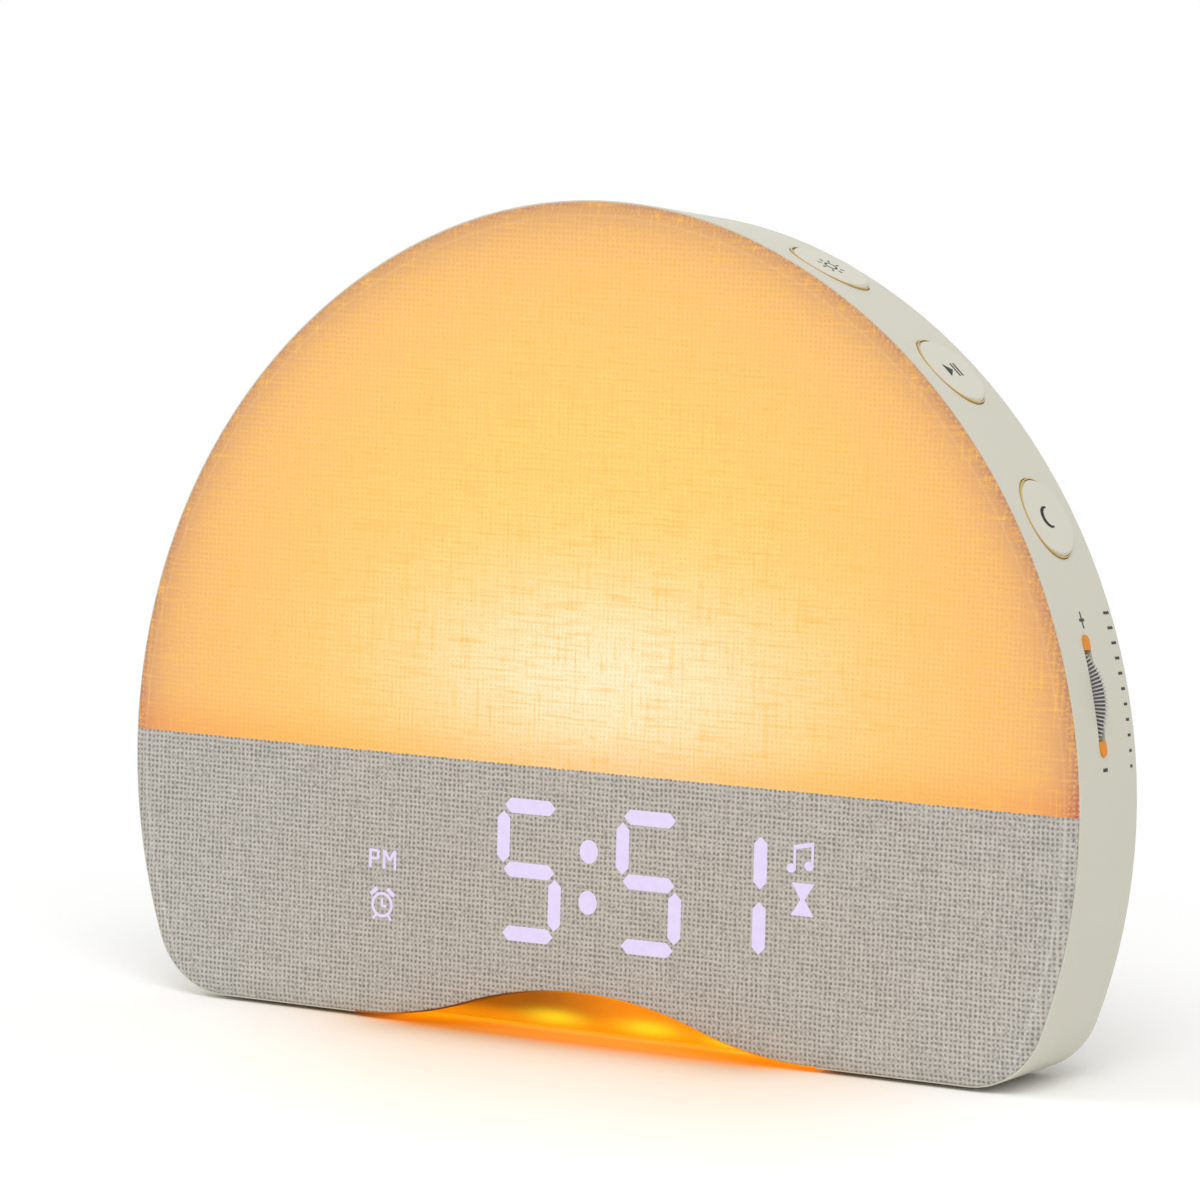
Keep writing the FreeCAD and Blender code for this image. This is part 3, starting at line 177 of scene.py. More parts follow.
class Term:
    """A shader socket that takes part in sums: each operator adds its Math node."""

    def __init__(self, finish, socket):
        self.finish = finish
        self.socket = socket

    def math(self, operation, *values):
        return self.finish.node("Math", {"operation": operation}, dict(enumerate((self,) + values)))

    def __add__(self, other):
        return self.math("ADD", other)

    __radd__ = __add__

    def __sub__(self, other):
        return self.math("SUBTRACT", other)

    def __rsub__(self, other):
        return self.finish.node("Math", {"operation": "SUBTRACT"}, {0: other, 1: self})

    def __mul__(self, other):
        return self.math("MULTIPLY", other)

    __rmul__ = __mul__

    def __truediv__(self, other):
        return self.math("DIVIDE", other)

    def __abs__(self):
        return self.math("ABSOLUTE")

    def root(self):
        return self.math("SQRT")

    def sine(self):
        return self.math("SINE")

    def over(self, limit):
        return self.math("GREATER_THAN", limit)

    def at_least(self, other):
        return self.math("MAXIMUM", other)

    def at_most(self, other):
        return self.math("MINIMUM", other)

    def ramp(self, low, high, to_low=0.0, to_high=1.0):
        """Runs smoothly from one value to another as this goes from low to high."""
        return self.finish.node(
            "MapRange", {"interpolation_type": "SMOOTHSTEP", "clamp": True},
            {"Value": self, "From Min": low, "From Max": high, "To Min": to_low, "To Max": to_high},
        )

    def window(self, start, full, fading, end):
        """Rises smoothly from nought to 1, and falls back to nought farther on."""
        return self.ramp(start, full) * self.ramp(fading, end, 1.0, 0.0)

    def fade(self, reach):
        """Falls from 1 at nought by a factor of e at each reach."""
        return self.finish.node("Math", {"operation": "EXPONENT"}, {0: self * (-1.0 / reach)})

    def bell(self, centre, width):
        """A soft bump of height 1 round a centre."""
        share = (self - centre) / width
        return self.finish.node("Math", {"operation": "EXPONENT"}, {0: share * share * -1.0})


class Finish:
    """One material, or the sky: its nodes are added by one method, and its surface by another."""

    def __init__(self, name, library="materials"):
        self.block = getattr(bpy.data, library).new(name)
        self.block.use_nodes = True
        self.tree = self.block.node_tree
        self.tree.nodes.clear()

    def node(self, kind, settings=None, inputs=None, output=0):
        """Adds a node, with its settings set first, and then the values or links of its sockets."""
        node = self.tree.nodes.new("ShaderNode" + kind)
        for name, value in (settings or {}).items():
            setattr(node, name, value)
        for name, value in (inputs or {}).items():
            if isinstance(value, Term):
                self.tree.links.new(value.socket, node.inputs[name])
            elif isinstance(value, (tuple, list)) and len(value) == 3 and node.inputs[name].type == "RGBA":
                node.inputs[name].default_value = (*value, 1.0)
            else:
                node.inputs[name].default_value = value
        return Term(self, node.outputs[output]) if len(node.outputs) else None

    def place(self, scale=None):
        """Object coordinates in metres, stretched where a scale is given."""
        where = self.node("TexCoord", output="Object")
        return self.node("Mapping", None, {"Vector": where, "Scale": scale}) if scale else where

    def axes(self, vector=None):
        split = self.node("SeparateXYZ", None, {"Vector": vector or self.place()})
        outputs = split.socket.node.outputs
        return [Term(self, outputs[index]) for index in range(3)]

    def noise(self, size, detail=2.0, vector=None, roughness=0.5, output=0):
        """Noise whose patches are about the given size in metres."""
        return self.node("TexNoise", None, {
            "Vector": vector or self.place(), "Scale": 1.0 / size, "Detail": detail, "Roughness": roughness,
        }, output)

    def mix(self, share, first, second):
        """A colour between two. The node's colour sockets are inputs 6 and 7 and output 2."""
        return self.node("Mix", {"data_type": "RGBA"}, {"Factor": share, 6: first, 7: second}, output=2)

    def add_light(self, colour, share, amount):
        """A colour with a share of another added to it."""
        return self.node("VectorMath", {"operation": "MULTIPLY_ADD"}, {0: share, 1: amount, 2: colour})

    def scale(self, colour, share):
        return self.node("VectorMath", {"operation": "MULTIPLY"}, {0: colour, 1: share})

    def bump(self, height, distance, strength=1.0):
        return self.node("Bump", None, {"Height": height, "Distance": distance, "Strength": strength})

    def surface(self, **inputs):
        """Ends the material in one Principled surface; names use underscores for spaces."""
        shader = self.node("BsdfPrincipled", None, {name.replace("_", " "): v for name, v in inputs.items()})
        self.node("OutputMaterial", None, {"Surface": shader})
        return self.block


def moulded(name, colour, roughness=0.48, grain=0.35 * MM, depth=0.006 * MM, mottle=0.03, specular=0.4):
    """Satin moulded plastic: a fine spark texture, a faint cloudiness, and a little more gloss in places."""
    finish = Finish(name)
    cloud = finish.noise(18 * MM, 3.0)
    darker = tuple(c * (1 - mottle * 2) for c in colour)
    lighter = tuple(min(c * (1 + mottle), 1.0) for c in colour)
    return finish.surface(
        Base_Color=finish.mix(cloud, darker, lighter),
        Roughness=cloud.ramp(0.3, 0.7, roughness - 0.04, roughness + 0.04),
        Specular_IOR_Level=specular,
        Normal=finish.bump(finish.noise(grain, 2.0), depth),
    )


def metal(name, colour, roughness, streak=(1.0, 1.0, 12.0)):
    """Bare metal with a drawn or ground grain."""
    finish = Finish(name)
    grain = finish.noise(0.5 * MM, 3.0, finish.place(streak))
    return finish.surface(
        Base_Color=finish.mix(grain, tuple(c * 0.86 for c in colour), colour),
        Metallic=1.0,
        Roughness=grain.ramp(0.2, 0.8, roughness - 0.08, roughness + 0.08),
        Normal=finish.bump(grain, 0.004 * MM),
    )


def circuit_board(name, colour, pad):
    """Solder mask over copper tracks, with small pads."""
    finish = Finish(name)
    x, _, z = finish.axes()
    lane = ((x / (2.6 * MM)).sine() * (z / (3.1 * MM)).sine()).ramp(0.35, 0.45)
    cells = finish.node("TexVoronoi", None, {"Vector": finish.place(), "Scale": 1 / (4.5 * MM)})
    pads = cells.ramp(0.1, 0.14, 1.0, 0.0)
    tone = finish.mix(lane, colour, tuple(min(c * 1.6 + 0.02, 1.0) for c in colour))
    return finish.surface(
        Base_Color=finish.mix(pads, tone, pad),
        Roughness=0.35,
        Metallic=pads * 0.8,
        Normal=finish.bump(lane, 0.03 * MM),
    )


def light_source(name, base, glow, strength):
    """Something that gives light, a little uneven over its face."""
    finish = Finish(name)
    cloud = finish.noise(1.6 * MM, 2.0)
    return finish.surface(
        Base_Color=base,
        Roughness=0.4,
        Emission_Color=finish.mix(cloud, tuple(c * 0.88 for c in glow), glow),
        Emission_Strength=strength,
    )


def amber_lens():
    """Night light lens: bright over each of its three lamps, with painted dark brown shade on the roof toward
    the left.
    """
    finish = Finish("amber_lens_look")
    x, y, z = finish.axes()
    base = 0.8 * MM
    lamps = ((-11.5 * MM, 1.0), (8.5 * MM, 1.1), (26.5 * MM, 1.0))
    spots = sum(x.bell(place, 6 * MM) * strength for place, strength in lamps)
    spots = spots * (z + x.ramp(10 * MM, 28 * MM) * 0.8 * MM).bell(base + 1.7 * MM, 1.4 * MM)
    # Painted shade: the glow turns dark brown high up and on the roof, most of all toward the left
    left = x.ramp(-18 * MM, 8 * MM, 1.0, 0.0)
    high = z.ramp(base + 0.6 * MM, base + 3.4 * MM)
    roof = y.ramp(-13.5 * MM, -10.9 * MM, 1.0, 0.0)
    cloud = finish.noise(3 * MM, 2.0)
    glow = finish.mix(cloud, (0.86, 0.235, 0.0), (0.97, 0.30, 0.001))
    dark = (high * 0.7 + roof * 0.7).at_most(1.0) * (left * 0.95 + 0.05)
    glow = finish.mix(dark, glow, (0.115, 0.021, 0.0))
    glow = finish.mix(spots.at_most(1.0), glow, (1.0, 0.66, 0.012))
    return finish.surface(
        # Painted shade in the surface colour as well: darker toward the left
        Base_Color=finish.mix(left, (0.16, 0.045, 0.0), (0.06, 0.015, 0.0)),
        Roughness=0.35,
        Specular_IOR_Level=0.2,
        Emission_Color=glow,
        Emission_Strength=0.97,
    )


def amber_guide(name="amber_guide_look"):
    """Lit amber plastic in the wheel's slot."""
    finish = Finish(name)
    cloud = finish.noise(2.5 * MM, 2.0)
    return finish.surface(
        Base_Color=finish.mix(cloud, (0.44, 0.15, 0.0), (0.52, 0.19, 0.002)),
        Roughness=0.4,
        Specular_IOR_Level=0.15,
        Emission_Color=finish.mix(cloud, (0.17, 0.05, 0.0), (0.24, 0.075, 0.0)),
        Emission_Strength=1.0,
        Normal=finish.bump(cloud, 0.02 * MM),
    )


def ribbed_wheel_look():
    """Grey plastic of the thumbwheel, with painted shade, near black, down in the grooves between its ribs.
    """
    finish = Finish("ribbed_wheel_look")
    groove_shade = finish.node("Attribute", {"attribute_name": "groove_shade"}, None, "Fac")
    cloud = finish.noise(0.8 * MM, 3.0)
    # Painted shade: the grooves are dark where light does not reach into them
    shade = finish.mix(groove_shade, (0.50, 0.485, 0.47), (0.055, 0.05, 0.052))
    return finish.surface(
        Base_Color=finish.mix(cloud * 0.12, shade, (0.2, 0.19, 0.19)),
        Roughness=0.45,
        Normal=finish.bump(cloud, 0.01 * MM),
    )


class Outline:
    """The arch outline: its arcs, and how far a place lies inside them."""

    def __init__(self, sizes):
        self.crown = sizes.crown_radius
        self.side = sizes.side_radius
        self.join = sizes.join_angle
        self.foot = sizes.foot_radius
        self.base = sizes.base_height
        self.arch_half = sizes.arch_half_width
        self.arch_rise = sizes.arch_height
        self.arch_radius = (self.arch_half ** 2 + self.arch_rise ** 2) / (4 * self.arch_rise)
        self.crown_z = self.base + sizes.case_height - self.crown
        self.side_x = (self.crown - self.side) * math.cos(self.join)
        self.side_z = self.crown_z + (self.crown - self.side) * math.sin(self.join)
        self.seam_z = self.base + sizes.seam_height

    def loop(self, bm, y, inset):
        """Walks the outline from arc to arc by spinning a vertex, and gives the closed loop's edges."""
        floor = self.base + inset
        corner = self.foot - inset
        side = self.side - inset
        foot_x = self.side_x + math.sqrt((side - corner) ** 2 - (floor + corner - self.side_z) ** 2)
        foot_angle = math.atan2(floor + corner - self.side_z, foot_x - self.side_x)
        arch_foot_z = self.base + self.arch_radius
        crest_z = self.base + self.arch_rise - self.arch_radius
        half_turn = math.asin(self.arch_half / 2 / self.arch_radius)
        vert = bm.verts.new((foot_x, y, floor))
        # Each arc as its centre, how far it turns, and its steps
        arcs = (
            (foot_x, floor + corner, math.pi / 2 + foot_angle, 16),
            (self.side_x, self.side_z, self.join - foot_angle, 48),
            (0.0, self.crown_z, math.pi - 2 * self.join, 56),
            (-self.side_x, self.side_z, self.join - foot_angle, 48),
            (-foot_x, floor + corner, math.pi / 2 + foot_angle, 16),
        )
        for centre_x, centre_z, turn, steps in arcs:
            vert = self.arc(bm, vert, centre_x, centre_z, y, turn, steps)
        vert = self.run(bm, vert, foot_x - self.arch_half)
        arch = (
            (-self.arch_half, arch_foot_z, half_turn, 18),
            (0.0, crest_z, -2 * half_turn, 40),
            (self.arch_half, arch_foot_z, half_turn, 18),
        )
        for centre_x, centre_z, turn, steps in arch:
            vert = self.arc(bm, vert, centre_x, centre_z, y, turn, steps)
        self.run(bm, vert, foot_x - self.arch_half)
        bmesh.ops.remove_doubles(bm, verts=bm.verts, dist=1e-6)
        return bm.edges[:]

    @staticmethod
    def arc(bm, vert, centre_x, centre_z, y, turn, steps):
        made = bmesh.ops.spin(
            bm, geom=[vert], cent=(centre_x, y, centre_z), axis=(0, -1, 0), angle=turn, steps=steps
        )
        return next(g for g in made["geom_last"] if isinstance(g, bmesh.types.BMVert))

    @staticmethod
    def run(bm, vert, length):
        """Draws a level edge to the right from a vertex."""
        made = bmesh.ops.extrude_vert_indiv(bm, verts=[vert])["verts"]
        bmesh.ops.translate(bm, verts=made, vec=(length, 0, 0))
        return made[0]

    def depth_inside(self, finish):
        """Shader term: how far a place on the front lies inside the outline."""
        x, _, z = finish.axes()
        x = abs(x)
        from_crown = self.crown - (x * x + (z - self.crown_z) * (z - self.crown_z)).root()
        side_x = (x - self.side_x) * (x - self.side_x)
        side_z = (z - self.side_z) * (z - self.side_z)
        from_side = self.side - (side_x + side_z).root()
        across = (z - self.side_z) * math.cos(self.join) - (x - self.side_x) * math.sin(self.join)
        above = across.over(0.0)
        return from_crown * above + from_side * (1.0 - above)


def mesh_object(name, bm, material, smooth=True, sharp_angle=35):
    """Turns a bmesh into an object at the origin, shaded smooth but for its sharp edges."""
    mesh = bpy.data.meshes.new(name)
    bm.to_mesh(mesh)
    bm.free()
    mesh.materials.append(material)
    if smooth:
        mesh.shade_smooth()
        mesh.set_sharp_from_angle(angle=math.radians(sharp_angle))
    obj = bpy.data.objects.new(name, mesh)
    bpy.context.scene.collection.objects.link(obj)
    return obj


def moved_verts(made):
    return [g for g in made["geom"] if isinstance(g, bmesh.types.BMVert)]


def turned(bm, profile, centre, axis, steps):
    """Revolves a closed profile of radii and heights about an axis."""
    first = axis.orthogonal().normalized()
    verts = [bm.verts.new(centre + first * radius + axis * height) for radius, height in profile]
    edges = [bm.edges.new((a, b)) for a, b in zip(verts, verts[1:] + verts[:1])]
    bmesh.ops.spin(
        bm, geom=verts + edges, cent=centre, axis=axis, angle=math.tau, steps=steps, use_merge=True
    )
    bmesh.ops.remove_doubles(bm, verts=bm.verts, dist=1e-7)
    bmesh.ops.recalc_face_normals(bm, faces=bm.faces)


class Signs:
    """Flat signs drawn from bars, discs and rings in millimetres, then set on a face of the clock."""

    def __init__(self):
        self.bm = bmesh.new()

    def corners(self, *places):
        verts = [self.bm.verts.new((x * MM, y * MM, 0.0)) for x, y in places]
        bmesh.ops.contextual_create(self.bm, geom=verts)

    def stroke(self, start, end, width):
        """A straight mark with square ends."""
        middle = (Vector(start) + Vector(end)) / 2
        reach = Vector(end) - Vector(start)
        turn = Matrix.Rotation(math.atan2(reach.y, reach.x), 4, "Z")
        size = Matrix.Diagonal((reach.length * MM / 2, width * MM / 2, 1.0, 1.0))
        place = Matrix.Translation((middle.x * MM, middle.y * MM, 0.0))
        bmesh.ops.create_grid(self.bm, x_segments=1, y_segments=1, size=1.0, matrix=place @ turn @ size)

    def strokes(self, x, y, *rows):
        """Straight marks, each given by its two ends, counted from a place, and its width."""
        for start_x, start_y, end_x, end_y, width in rows:
            self.stroke((x + start_x, y + start_y), (x + end_x, y + end_y), width)

    def disc(self, x, y, radius, stretch=1.0, segments=32):
        place = Matrix.Translation((x * MM, y * MM, 0.0)) @ Matrix.Diagonal((1.0, stretch, 1.0, 1.0))
        made = bmesh.ops.create_circle(
            self.bm, cap_ends=True, radius=radius * MM, segments=segments, matrix=place
        )
        return made["verts"][0].link_faces[0]

    def ring(self, x, y, outer, width, segments=40):
        face = self.disc(x, y, outer, 1.0, segments)
        bmesh.ops.inset_region(
            self.bm, faces=[face], thickness=width * MM, use_boundary=True, use_even_offset=True
        )
        bmesh.ops.delete(self.bm, geom=[face], context="FACES")

    def bar(self, x, y, length, width, upright=False):
        """A display bar with pointed ends."""
        half = length / 2
        thick = width / 2
        tip = half - thick * 0.95
        places = [(-half, 0), (-tip, -thick), (tip, -thick), (half, 0), (tip, thick), (-tip, thick)]
        if upright:
            places = [(-b, a) for a, b in places]
        self.corners(*[(x + a, y + b) for a, b in places])

    def set_on(self, name, centre, right, up, material, proud=0.02, sunk=0.1):
        """Gives the signs their thickness and places them, with their right and up ways along the face."""
        bm = self.bm
        outward = right.cross(up)
        bmesh.ops.recalc_face_normals(bm, faces=bm.faces)
        for face in bm.faces:
            if face.normal.z < 0:
                face.normal_flip()
        back = moved_verts(bmesh.ops.extrude_face_region(bm, geom=bm.faces[:]))
        bmesh.ops.translate(bm, verts=back, vec=(0, 0, (proud + sunk) * MM))
        bmesh.ops.recalc_face_normals(bm, faces=bm.faces)
        turn = Matrix((right, up, outward)).transposed().to_4x4()
        place = Matrix.Translation(centre - outward * sunk * MM) @ turn
        bmesh.ops.transform(bm, matrix=place, verts=bm.verts)
        return mesh_object(name, bm, material, smooth=False)


class SideSeat:
    """A place on the right side of the rim, and the ways that lead from it.

    Outward and up are square to the clock's depth. The rim tapers, so along runs back on its surface, and
    skin is square to that.
    """

    def __init__(self, outline, sizes, angle, setback):
        rim_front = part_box("case_shell")[0].y
        radius = outline.side - sizes.rim_taper * setback / sizes.rim_depth
        self.outward = Vector((math.cos(angle), 0, math.sin(angle)))
        self.up = Vector((-math.sin(angle), 0, math.cos(angle)))
        centre = Vector((outline.side_x, rim_front + setback, outline.side_z))
        self.point = centre + self.outward * radius
        self.along = (Y_AXIS * sizes.rim_depth - self.outward * sizes.rim_taper).normalized()
        self.skin = self.along.cross(self.up)


BUTTON_ANGLES = {"upper": 64.2, "middle": 47.5, "lower": 30.2}


def paint_node(name, material):
    """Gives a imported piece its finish, shaded smooth over its curves."""
    node = frame["nodes"][name]
    node.data.materials.clear()
    node.data.materials.append(material)
    node.data.shade_smooth()
    node.data.set_sharp_from_angle(angle=math.radians(30))


class CLOCK_OT_finishes(bpy.types.Operator):
    """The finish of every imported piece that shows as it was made"""

    bl_idname = "clock.finishes"
    bl_label = "Finishes"

    def execute(self, context):
        looks = {
            "case_plastic": moulded("case_plastic_look", (0.615, 0.598, 0.50)),
            "frame_plastic": moulded("frame_plastic_look", (0.76, 0.75, 0.71), 0.55),
            "opal": moulded("opal_look", (0.85, 0.83, 0.78), 0.4),
            "display_plastic": moulded("display_plastic_look", (0.14, 0.135, 0.13), 0.6),
            "reflector": moulded("reflector_look", (0.86, 0.86, 0.84), 0.25),
            "white_board": circuit_board("white_board_look", (0.78, 0.78, 0.76), (0.80, 0.78, 0.70)),
            "green_board": circuit_board("green_board_look", (0.012, 0.105, 0.035), (0.75, 0.62, 0.32)),
            "led": light_source("led_look", (0.85, 0.75, 0.35), (1.0, 0.75, 0.35), 0.6),
            "segment_light": moulded("light_guide_look", (0.75, 0.72, 0.80), 0.3),
            "amber": amber_lens(),
            "button_plastic": moulded("button_plastic_look", (0.63, 0.613, 0.52), 0.42),
            "black_plastic": moulded("black_plastic_look", (0.02, 0.02, 0.021), 0.5),
            "screw_steel": metal("screw_steel_look", (0.62, 0.61, 0.59), 0.32),
            "dial_plastic": moulded("dial_plastic_look", (0.30, 0.29, 0.29), 0.5),
            "pin_steel": metal("pin_steel_look", (0.68, 0.68, 0.68), 0.22),
            "can_aluminium": metal("can_aluminium_look", (0.78, 0.79, 0.80), 0.28),
            "connector_plastic": moulded("connector_plastic_look", (0.78, 0.76, 0.69), 0.5),
            "black_metal": moulded("black_metal_look", (0.025, 0.025, 0.025), 0.35),
            "magnet": metal("magnet_look", (0.16, 0.16, 0.165), 0.5),
            "paper": moulded("pressed_paper_look", (0.035, 0.034, 0.033), 0.85, 0.8 * MM, 0.03 * MM),
            "rubber": moulded("rubber_look", (0.035, 0.035, 0.035), 0.8, 0.5 * MM, 0.01 * MM),
        }
        for row in frame["record"]["subparts"]:
            if row["material_slot"] in looks and row["node"] in frame["nodes"]:
                paint_node(row["node"], looks[row["material_slot"]])
        paint_node("front_fabric", looks["frame_plastic"])
        paint_node("dial_insert", amber_guide())
        return {"FINISHED"}


class CLOCK_OT_cloth(bpy.types.Operator):
    """The woven front: one cloth over the frame, lit above the seam and plain below"""

    bl_idname = "clock.cloth"
    bl_label = "Cloth front"

    def execute(self, context):
        look = context.scene.clock_cloth
        outline = Outline(context.scene.clock_outline)
        low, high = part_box("front_fabric")
        bm = bmesh.new()
        edges = outline.loop(bm, low.y, look.edge_inset)
        bmesh.ops.contextual_create(bm, geom=edges)
        front = bm.faces[0]
        if front.normal.y > 0:
            front.normal_flip()
        bmesh.ops.inset_region(
            bm, faces=[front], thickness=look.band_width, use_boundary=True, use_even_offset=True
        )
        crease = front.edges[:]
        flat_verts = set(front.verts)
        for vert in bm.verts:
            if vert not in flat_verts:
                vert.co.y += look.band_depth * self.slope(vert.co, outline)
        rim_edges = [e for e in bm.edges if e.is_boundary]
        walls = moved_verts(bmesh.ops.extrude_edge_only(bm, edges=rim_edges))
        bmesh.ops.translate(bm, verts=walls, vec=(0, look.wall_depth, 0))
        self.rounded(bm, rim_edges, look.fold_rounding)
        self.rounded(bm, [e for e in crease if e.is_valid], look.crease_rounding)
        front = max(bm.faces, key=lambda face: face.calc_area())
        bmesh.ops.inset_region(bm, faces=[front], thickness=1.0 * MM, use_even_offset=True)
        cloth = mesh_object("cloth_front", bm, cloth_look(look, outline), sharp_angle=60)
        wall = cloth.modifiers.new("thickness", "SOLIDIFY")
        wall.thickness = look.thickness
        wall.offset = -1.0
        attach(cloth, "case")
        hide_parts("front_fabric")
        return {"FINISHED"}

    @staticmethod
    def slope(place, outline):
        """Share of the band's depth at a place on the edge: the cloth stays flatter over the arch."""
        ease = 5 * MM
        in_arch = 0.0
        if place.z < outline.base + 2 * outline.arch_rise:
            in_arch = max(0.0, min(1.0, (outline.arch_half - abs(place.x)) / ease))
        return 1.0 - 0.8 * in_arch

    @staticmethod
    def rounded(bm, edges, reach):
        bmesh.ops.bevel(
            bm, geom=edges, offset=reach, offset_type="OFFSET", segments=3, profile=0.5,
            affect="EDGES", clamp_overlap=True, material=-1,
        )


def weave(finish, pitch, x, z):
    """Linen threads that wander a little: how high they stand, their fibres, and where they are thick."""
    per_turn = pitch / math.tau
    wander_x, wander_z, patch = finish.axes(finish.noise(3.6 * MM, 3.0, roughness=0.6, output="Color"))
    column = x / per_turn + (wander_x - 0.5) * 5.0
    row = z / per_turn + (wander_z - 0.5) * 5.0
    gaps = (column.sine() + 1.0) * (row.sine() + 1.0) * 0.25
    fibre = finish.noise(0.55 * MM, 2.0, roughness=0.6)
    slub_across = finish.noise(0.7 * MM, 3.0, finish.place((0.065, 1.0, 1.0)), 0.62)
    slub_up = finish.noise(0.7 * MM, 3.0, finish.place((1.0, 1.0, 0.065)), 0.62)
    thick = (slub_across + slub_up) * 0.5
    thread = (0.25 - gaps) * (0.30 + patch * 0.6) + (fibre - 0.5) * 1.1 + (thick - 0.5) * 0.9 + 0.55
    slubs = slub_across.ramp(0.50, 0.64) * 0.5 + slub_up.ramp(0.52, 0.66) * 0.5
    return thread, fibre, slubs


def lamp_light(finish, look, outline, x, z, inside, edge):
    """Light through the cloth: bright over the lamp, and darker and browner toward the rim and the seam."""
    glow = tuple(look.glow)
    changes = (
        (x.bell(-3 * MM, 150 * MM) * z.bell(110 * MM, 100 * MM), (0.154, 0.173, 0.041)),
        (x.bell(3.3 * MM, look.glow_width) * z.bell(look.glow_height, look.glow_rise), (0.037, 0.247, 0.423)),
        (edge, (-0.332, -0.206, 0.011)),
        (inside.bell(0.0, 32 * MM), (0.025, -0.095, 0.015)),
        (z.bell(outline.seam_z, 5.0 * MM), (-0.009, -0.099, -0.055)),
        (inside.fade(2.6 * MM), (-0.27, -0.15, -0.03)),
    )
    for share, amount in changes:
        glow = finish.add_light(glow, share, amount)
    return glow


def cloth_look(look, outline):
    """Linen weave, plain below the seam and lit by the lamp above it."""
    finish = Finish("linen_look")
    x, _, z = finish.axes()
    thread, fibre, slubs = weave(finish, look.thread_pitch, x, z)
    pit = thread.ramp(0.12, 0.42, 1.0, 0.0)
    inside = outline.depth_inside(finish)
    edge = inside.fade(4.3 * MM)
    band = inside.ramp(1.6 * MM, 3.2 * MM, 1.0, 0.0)
    # The line of the crease between the flat and the band, where a painted highlight goes
    crease = inside.bell(2.7 * MM, 0.25 * MM)
    seam_half = 0.12 * MM
    ragged = z + (fibre - 0.5) * 0.5 * MM
    lit = ragged.ramp(outline.seam_z - seam_half, outline.seam_z + seam_half)

    plain = finish.mix(thread.ramp(0.05, 0.95), tuple(look.hole), tuple(look.thread))
    plain = finish.mix(pit * 0.3, plain, (0.16, 0.155, 0.145))
    # Painted highlight: the unlit cloth is paler along the crease
    plain = finish.mix(crease * 0.3, plain, (0.68, 0.67, 0.65))

    glow = lamp_light(finish, look, outline, x, z, inside, edge)
    glow = finish.mix(slubs * 0.85, glow, (0.68, 0.37, 0.05))
    between = thread.ramp(0.1, 0.9, 1.0, 0.0) * (0.30 + edge * 0.5) + pit * band * 0.3
    glow = finish.mix(between, glow, (0.46, 0.23, 0.06))
    # Painted highlight along the crease on the lit cloth too
    glow = finish.mix(crease * 0.10, glow, (0.85, 0.58, 0.36))
    return finish.surface(
        # Above the seam the surface colour carries the lamp's orange as painted light
        Base_Color=finish.mix(lit, plain, tuple(look.lamp_painted_base)),
        Roughness=0.92,
        Specular_IOR_Level=0.15,
        Sheen_Weight=0.1,
        Sheen_Roughness=0.5,
        Emission_Color=finish.scale(glow, lit),
        Emission_Strength=1.0,
        Normal=finish.bump(thread, 0.14 * MM, 0.9),
    )


SEGMENTS = {
    "5": ("top", "upper_left", "middle", "lower_right", "bottom"),
    "1": ("upper_right", "lower_right"),
}
# Each digit of the time and its place across, in millimetres from the two dots
DIGITS = (
    ("hour", "5", -12.7),
    ("minute_tens", "5", 12.7),
    ("minute_ones", "1", 30.2),
)


